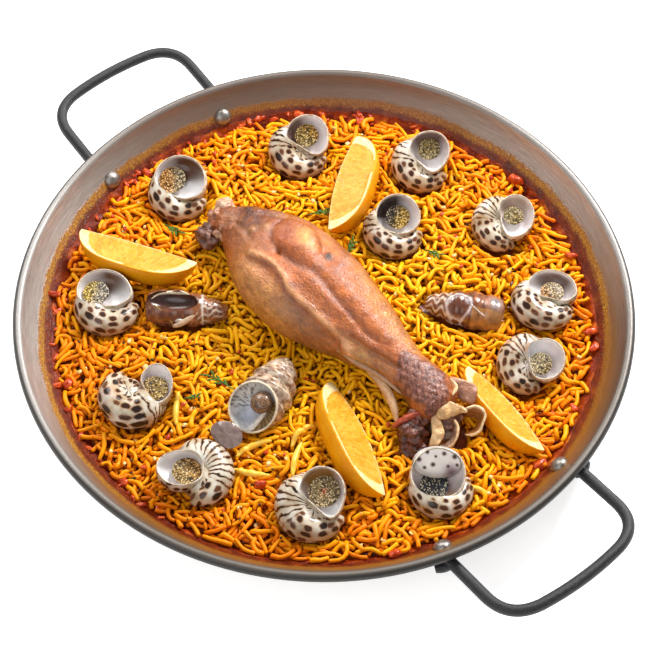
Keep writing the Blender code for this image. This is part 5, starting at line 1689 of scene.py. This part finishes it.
def softParts(place):
    # the lip, a fold, the coiled meat and the flap of the tall snail
    def placed(points):
        return moved(np.asarray(points, float), place)

    parts = MeshParts()
    rim, bead = circleOf(72)[:, None], circleOf(8)
    reach = tallOutline(tall["mouth"] - 0.4, rim) + 0.75 * np.cos(bead)
    lip = np.stack([reach * np.cos(rim), reach * np.sin(rim), 0 * rim + 0.75 * np.sin(bead)], axis=-1)
    parts.add(placed(lip.reshape(-1, 3)), gridQuads(72, 8, wrapRows=True), (0.84, 0.72, 0.54))
    fade = np.sin(np.linspace(0, math.pi, 30)) ** 0.5
    blade, quads = tubeArrays(placed(smoothTable(tall["fold"], 30))[None], (0.35 + 1.1 * fade)[None], 12)
    parts.add(blade, quads, (0.86, 0.80, 0.72))
    lumpPart(parts, placed((-3.5, 3.6, -2.5)), (7.5, 7.2, 6.5), (0.30, 0.17, 0.09), 53, 0.04, 8)
    away = np.linalg.norm(parts.points[-1] - placed((-5.0, 6.5, 4.0)), axis=1)
    parts.paint[-1] = blend(parts.paint[-1], 0.8 * (np.sin(away * 3.6) > 0.0), (0.07, 0.03, 0.014))
    flap = np.array(ringsAt([(a, 9.2) for a in circleOf(48)], tall["flap"])).reshape(-1, 3)
    flap[:, 0] *= 0.9
    turn = np.arctan2(flap[:, 1], flap[:, 0])
    flap[:, :2] *= (1 + 0.07 * np.sin(2 * turn + 0.8) + 0.03 * np.sin(3 * turn))[:, None] * np.array((0.9, 1.25))
    lift = 0.6 * waves(flap, 7, 55) - 0.25 * flap[:, 0]
    flap += np.array((35, -6.5, -0.5)) + np.outer(lift, (0, 0, 1))
    parts.add(flap, gridQuads(6, 48), (0.22, 0.15, 0.13))
    return parts


def makeTallSnail(material):
    rings, sides = tall["rings"], tall["sides"]
    spire, angle = spunGrid(whorlProfile(tall["spire"], tall["radius"], tall["front"]), sides, rings)
    spire[:, 1] += 1.5 + 0.03 * spire[:, 0]
    band = ((tall["front"] - spire[:, 0]) / tall["pitch"] + angle / math.tau) % 1
    paint = spirePaint(spire)
    spire[:, 1:] *= (1 - 0.035 * np.cos((band - 0.5) * math.tau))[:, None]
    place = Matrix.Translation(tall["cup"]) @ Matrix.Rotation(math.radians(tall["lean"]), 4, "Y")
    place = place @ Matrix.Translation((tall["shift"], 0, 0))
    inside = tall["mouth"] - tall["wall"]
    outer, quads = cupGrid(tall["mouth"], tall["cupProfile"])
    cup = gridMesh(outer, quads, plainPaint(outer, (0.80, 0.66, 0.50)), "cup")
    down = [(share, level) for level, share in reversed(cavityTable)]
    inner, quads = cupGrid(inside, [(0.4, 12), (1, 12), *down])
    cavity = gridMesh(inner, quads, plainPaint(inner, (0.5, 0.5, 0.5)), "cavity")
    for part in (cup, cavity):
        part.transform(place)
    body = gridMesh(spire, gridQuads(rings, sides), paint, "spire")
    mesh = booleaned(body, (("UNION", cup), ("DIFFERENCE", cavity)))
    spots = meshPoints(mesh)
    local = moved(spots, place.inverted())
    levels, shares = np.array(cavityTable).T
    limit = tallOutline(inside, np.arctan2(local[:, 1], local[:, 0])) * np.interp(local[:, 2], levels, shares)
    held = (np.hypot(local[:, 0], local[:, 1]) < limit + 0.15) & (local[:, 2] > -9.3)
    paintPoints(mesh, "paint", np.where(held[:, None], mouthPaint(local[:, 0], local[:, 1]), spirePaint(spots)))
    finishLying(mesh, softParts(place), standing(*tall["place"], tall["heading"]), "snail_tall", material,
                "snail_13")


def makeDarkSnail(index, entry, material):
    x0, y0, z0, along, length, kind = entry
    rings, sides, front, radius = spindle["rings"], spindle["sides"], spindle["front"], spindle["radius"]
    points, angle = spunGrid(whorlProfile(length - 1, radius, front), sides, rings)
    x = points[:, 0]
    points[:, 1] *= 1.04
    side = points[:, 1] / radius
    whorl = ((front - x) / spindle["pitch"] + angle / math.tau) % 1
    points[:, 1:] *= (1 - 0.07 * bell(np.minimum(whorl, 1 - whorl) / 0.09) * (x < 2))[:, None]
    # share and colour of each layer of paint
    pale = (0.74, 0.60, 0.46)
    layers = [(0.8 * (0.2 + 0.9 * waves(points, 6, 65)), (0.34, 0.13, 0.06))]
    if kind == 1:
        streak = np.sin(angle * 11 + 1.6 * np.sin(x * 0.8) + 0.5 * x)
        fine = np.sin(x * 1.9 + 2 * np.sin(angle * 3))
        layers += [
            (0.9 * np.clip(streak * 2.6 - 0.7, 0, 1) * (x < -7), pale),
            (0.6 * np.clip(fine * 1.4 - 0.6, 0, 1) * (x < -1), (0.50, 0.42, 0.38)),
            (0.7 * (0.5 + waves(points, 7, 61)) * (x < 0), (0.30, 0.10, 0.03)),
            (0.9 * bell((x + 9 + 1.2 * side) / 0.6), (0.80, 0.70, 0.60))]
    else:
        zigzag = np.sin(angle * 8 + 2.2 * np.sin(x * 0.9))
        ring = np.hypot((x + 1) / 8.0, (side + 0.30) / 0.62)
        layers += [
            (0.9 * np.clip(zigzag * 2.6 - 0.5, 0, 1) * (x < -7), pale),
            (0.85 * bell(np.hypot((x + 1) / 6.5, (side + 0.35) / 0.42)), (0.10, 0.030, 0.018)),
            (0.9 * bell((ring - 1.0) / 0.10) * (side > -0.9), (0.76, 0.70, 0.68)),
            (0.6 * bell((ring - 0.72) / 0.10) * (side > -0.3), (0.50, 0.42, 0.44)),
            (0.7 * (x > 8) * (0.5 + waves(points, 6, 62)), (0.50, 0.17, 0.07)),
            (0.8 * (x > 8) * (side < -0.35), (0.45, 0.20, 0.05)),
            (0.8 * bell(np.hypot((x - 22) / 5, (side - 0.1) / 0.35)), (0.38, 0.38, 0.36))]
    paint = plainPaint(x, (0.17, 0.055, 0.024))
    for share, colour in layers:
        paint = blend(paint, share, colour)
    mesh = gridMesh(points, gridQuads(rings, sides), paint, "spindle")
    parts = MeshParts()
    tubes = darkTubes[kind]
    if kind == 1:
        mesh = hollowed(mesh)
    for tube in tubes[:2]:
        tubePart(parts, *tube)
    if kind == 1:
        lumpPart(parts, (10, 9, 3), (3.6, 3.2, 2.6), (0.62, 0.56, 0.52), 63, 0.15, 4, (0.40, 0.34, 0.32))
        lumpPart(parts, (5.5, 10.5, 3.2), (3.2, 2.6, 2.2), (0.70, 0.62, 0.56), 64, 0.15, 4)
    for tube in tubes[2:]:
        tubePart(parts, *tube)
    finishLying(mesh, parts, standing(x0, y0, z0, along), f"snail_dark_{index + 1}", material,
                f"snail_{index + 14}")


def hollowed(body):
    # the open side of the first dark snail
    middle, half = np.array(hollow["middle"]), np.array(hollow["half"])
    rows, columns = hollow["rows"], hollow["columns"]
    points = ballPoints(rows, columns, 0.03) * half + middle
    across = np.clip((points[:, 1] + 1) / 6, 0, 1)
    paint = blend(plainPaint(points, (0.075, 0.026, 0.018)), across * 0.6, (0.20, 0.08, 0.055))
    mesh = booleaned(body, (("DIFFERENCE", gridMesh(points, gridQuads(rows, columns), paint, "hollow")),))
    spots = meshPoints(mesh)
    held = np.linalg.norm((spots - middle) / half, axis=1) < 1.02
    across = np.clip((spots[:, 1] + 1) / 6, 0, 1)
    repaint(mesh, held, blend(plainPaint(spots, (0.060, 0.020, 0.012)), across * 0.7, (0.24, 0.085, 0.045)))
    return mesh


glossShell = glossShellMaterial()
makeTallSnail(glossShell)
for index, entry in enumerate(darkSnails):
    makeDarkSnail(index, entry, glossShell)
print("tall and dark snails made")


# sauce round the edge

sauceRing = {"around": 900, "across": 14, "lowest": 14.5, "highest": 19.6, "farSide": 150}


def stickySauceMaterial():
    sauce = Finish("redSauce", 0.45, {"Specular IOR Level": 0.12})
    clouds, fine = sauce.noise(85, 5, 0.65), sauce.noise(380, 3, 0.6)
    seeds = sauce.cells(sauce.coords, 330, 1.0)["Distance"]
    colour = sauce.ramp(clouds, (0.3, (0.060, 0.004, 0.0005)), (0.47, (0.15, 0.012, 0.0005)),
                        (0.60, (0.32, 0.040, 0.001)), (0.74, (0.62, 0.20, 0.008)))
    colour = sauce.mixed(sauce.spread(seeds, 0.08, 0.14, 0.7, 0), colour, (0.60, 0.24, 0.05))
    colour = sauce.mixed(sauce.spread(fine, 0.5, 0.75, 0, 0.3), colour, (0.36, 0.08, 0.02))
    return sauce.surface(colour, sauce.spread(fine, 0.3, 0.7, 0.34, 0.6),
                         sauce.bump(fine, 0.25, 0.0005, sauce.bump(seeds, 0.2, 0.0006)))


def makeSauceRing(material):
    around, across = sauceRing["around"], sauceRing["across"]
    angle = circleOf(around)
    circle = np.stack([np.cos(angle), np.sin(angle), np.zeros(around)], axis=1)
    far = 0.5 + 0.5 * np.cos(angle - math.radians(sauceRing["farSide"]))
    highest = sauceRing["highest"] + 2.0 * far
    highest += 0.7 * waves(circle * 180, 26, 71) + 0.5 * waves(circle * 180, 8, 72)

    def onWall(share, offset):
        # points at this share of the way up the sauce, drawn in from the wall by the offset
        level = sauceRing["lowest"] + (highest - sauceRing["lowest"]) * share
        wall = np.array([wallPoint(slopeAt(value))[0] / mm for value in level])
        point = circle * (wall - offset)[:, None]
        point[:, 2] = level
        return point

    rings = []
    for share in np.arange(across + 1) / across:
        thick = (1.1 * (1 - share) ** 0.8 + 0.25 * math.sin(math.pi * share)) * (0.5 + 0.5 * far) + 0.12
        point = onWall(share, thick * 1.6)
        point[:, 2] += thick * 0.8
        fade = math.sin(math.pi * min(1, share + 0.15)) ** 0.7
        lumps = (0.5 * waves(point, 8, 73) + 0.2 * waves(point, 3.5, 74)) * fade
        point[:, 2] += lumps
        point -= circle * (lumps * 0.8)[:, None]
        rings.append(point)
    for share in (1, 0):
        point = onWall(share, 0.05)
        point[:, 2] -= 1 - share
        rings.append(point)
    parts = MeshParts()
    parts.add(np.stack(rings, axis=1).reshape(-1, 3), gridQuads(around, across + 3, wrapRows=True))
    finishPiece(parts.finish("sauce"), "sauce_ring", [material])


makeSauceRing(stickySauceMaterial())
print("sauce ring made")


# herbs, pepper, garlic and specks

bits = {"seed": 23, "garlic": 90, "specks": 110, "flecks": 70, "rimReds": 70, "rimFrom": (120, 290),
        "reach": 168, "specksReach": 170}
sprigs = ((3, 88, 20, 12), (2, -83, 200, 20), (-69, 48, 60, 16), (-120, -38, 10, 14), (-1, -106, 60, 10),
          (-32, 46, 115, 13))
peppers = ((113, 131, 9), (-123, -129, 9), (75, -107, 8), (168, 40, 11), (162, -71, 8), (-121, 125, 9),
           (-12, 175, 11), (124, 125, 8), (-150, 92, 8), (60, 162, 9), (-172, -22, 8), (20, -172, 8),
           (150, 84, 7), (-60, -160, 8))
thickStrands = ((140, -10, 60), (153, -5, 20), (-1, -117, 140), (61, -66, 100), (65, -107, 40), (50, -95, 80),
                (75, -80, 130), (35, -108, 10))
# piece: material, dark, middle and light colour, roughness
bitLooks = {
    "red_pepper": ("redPepper", (0.26, 0.018, 0.004), (0.55, 0.055, 0.008), (0.80, 0.16, 0.02), 0.24),
    "garlic_crumbs": ("garlic", (0.72, 0.42, 0.08), (0.88, 0.64, 0.22), (0.95, 0.82, 0.50), 0.35),
    "pepper_specks": ("blackSpecks", (0.012, 0.008, 0.006), (0.03, 0.018, 0.012), (0.09, 0.05, 0.03), 0.45),
    "herb_sprigs": ("herb", (0.016, 0.050, 0.002), (0.050, 0.130, 0.005), (0.13, 0.26, 0.012), 0.45),
    "thick_strands": ("paleStrand", (0.84, 0.42, 0.03), (0.93, 0.56, 0.05), (0.97, 0.70, 0.14), 0.32),
}


def surfaceAt(x, y):
    i, j = heap.cell(np.array((x, y)) * mm)
    return float(heap.height[max(0, i - 1):i + 2, max(0, j - 1):j + 2].mean()) / mm


def finishBits(parts, name):
    look, low, middle, high, roughness = bitLooks[name]
    tinted = Finish(look, roughness, {"Specular IOR Level": 0.35})
    grain = tinted.noise(260, 4, 0.6)
    tinted.surface(tinted.ramp(grain, (0.3, low), (0.5, middle), (0.72, high)),
                   tinted.spread(grain, 0.3, 0.7, roughness * 0.75, roughness * 1.3),
                   tinted.bump(grain, 0.4, 0.0006))
    finishPiece(parts.finish(name), name, [tinted.material])


def chunkParts(parts, random, x, y, z, half, seed, rough):
    # a small lumpy piece, turned at random
    unit = ballPoints(7, 9, 0.02)
    points = squared(unit, 0.7) * np.array(half) * (1 + rough * waves(unit * 3, 2.4, seed))[:, None]
    turned = Matrix.Rotation(random.uniform(0, math.tau), 4, "Z")
    turned = turned @ Matrix.Rotation(random.normal(0, 0.35), 4, "X")
    parts.add(moved(points, Matrix.Translation((x, y, z)) @ turned), gridQuads(7, 9))


def scatter(random, count, reach, parts, low, high, sink=0.3):
    placed = 0
    while placed < count:
        r, a = reach * math.sqrt(random.uniform(0, 1)), random.uniform(0, math.tau)
        x, y = r * math.cos(a), r * math.sin(a)
        # only where no topping stands over the noodles
        if heap.ceiling[heap.cell(np.array((x, y)) * mm)] <= 0.06:
            continue
        size = random.uniform(low, high)
        half = (size, size * random.uniform(0.6, 0.9), size * random.uniform(0.5, 0.75))
        chunkParts(parts, random, x, y, surfaceAt(x, y) + half[2] * (1 - 2 * sink), half, placed, 0.3)
        placed += 1


def leafArrays(start, end, width, thickness=0.35):
    # a thin pointed leaf from start to end
    t, angle = np.linspace(0, 1, 9), circleOf(6)
    middle = start + np.outer(t, end - start)
    middle[:, 2] += np.sin(math.pi * t)
    side = np.cross(end - start, (0, 0, 1.0))
    side /= np.linalg.norm(side)
    spread = np.sin(math.pi * np.clip(t * 0.92 + 0.06, 0, 1)) ** 0.7
    ring = np.outer(width * np.cos(angle), side) + np.outer(thickness * np.sin(angle), (0, 0, 1))
    return (middle[:, None] + spread[:, None, None] * ring).reshape(-1, 3), gridQuads(9, 6)


def pepperParts(parts, random):
    for index, (x, y, size) in enumerate(peppers):
        half = (size * 0.5, size * 0.33, size * 0.22)
        chunkParts(parts, random, x, y, surfaceAt(x, y) + size * 0.12, half, index, 0.25)
    scatter(random, bits["flecks"], bits["reach"], parts, 0.8, 2.0)
    for index in range(bits["rimReds"]):
        angle = math.radians(random.uniform(*bits["rimFrom"]))
        reach, size = random.uniform(172, 178.5), random.uniform(1.2, 2.6)
        level = 18.4 + max(0, reach - 174) * 0.7
        half = (size * 1.5, size * 0.7, size * 0.5)
        chunkParts(parts, random, reach * math.cos(angle), reach * math.sin(angle), level, half, index + 40, 0.3)


def garlicParts(parts, random):
    scatter(random, bits["garlic"], bits["reach"], parts, 0.9, 1.9)


def speckParts(parts, random):
    scatter(random, bits["specks"], bits["specksReach"], parts, 0.4, 1.0, 0.1)


def sprigParts(parts, random):
    for x, y, turn, size in sprigs:
        angle = math.radians(turn)
        ahead = np.array((math.cos(angle), math.sin(angle), 0))
        side = np.array((-math.sin(angle), math.cos(angle), 0))
        base = np.array((x, y, surfaceAt(x, y) + 1.4)) - ahead * size / 2
        stem = ahead * size + np.array((0, 0, 1.5))
        parts.add(*leafArrays(base, base + stem, 0.6))
        for k in range(6):
            start = base + stem * (0.30 + 0.12 * k)
            hand = 1 if k % 2 else -1
            reach = size * random.uniform(0.34, 0.52)
            sideways = side * hand * reach * random.uniform(0.3, 0.6)
            end = start + ahead * reach * 0.85 + sideways + np.array((0, 0, random.uniform(-0.3, 1.2)))
            parts.add(*leafArrays(start, end, 0.7))


def strandParts(parts, random):
    t = np.linspace(-1, 1, 9)
    for x, y, turn in thickStrands:
        angle = math.radians(turn) + 0.5 * t * random.uniform(-1, 1)
        half = random.uniform(10, 14)
        path = np.stack([x + half * t * np.cos(angle), y + half * t * np.sin(angle), np.zeros(9)], axis=1)
        path[:, 2] = [surfaceAt(px, py) + 1.0 for px, py in path[:, :2]]
        path[:, 2] = np.maximum(path[:, 2], path[:, 2].mean())
        tubePart(parts, path, [1.5, 1.8, 2.0, 2.1, 2.1, 2.1, 2.0, 1.8, 1.4], (1, 1, 1), 10, 26)


def makeBits():
    random = np.random.default_rng(bits["seed"])
    for name, fill in (
            ("red_pepper", pepperParts),
            ("garlic_crumbs", garlicParts),
            ("pepper_specks", speckParts),
            ("herb_sprigs", sprigParts),
            ("thick_strands", strandParts)):
        parts = MeshParts()
        fill(parts, random)
        finishBits(parts, name)


makeBits()
print("bits scattered")
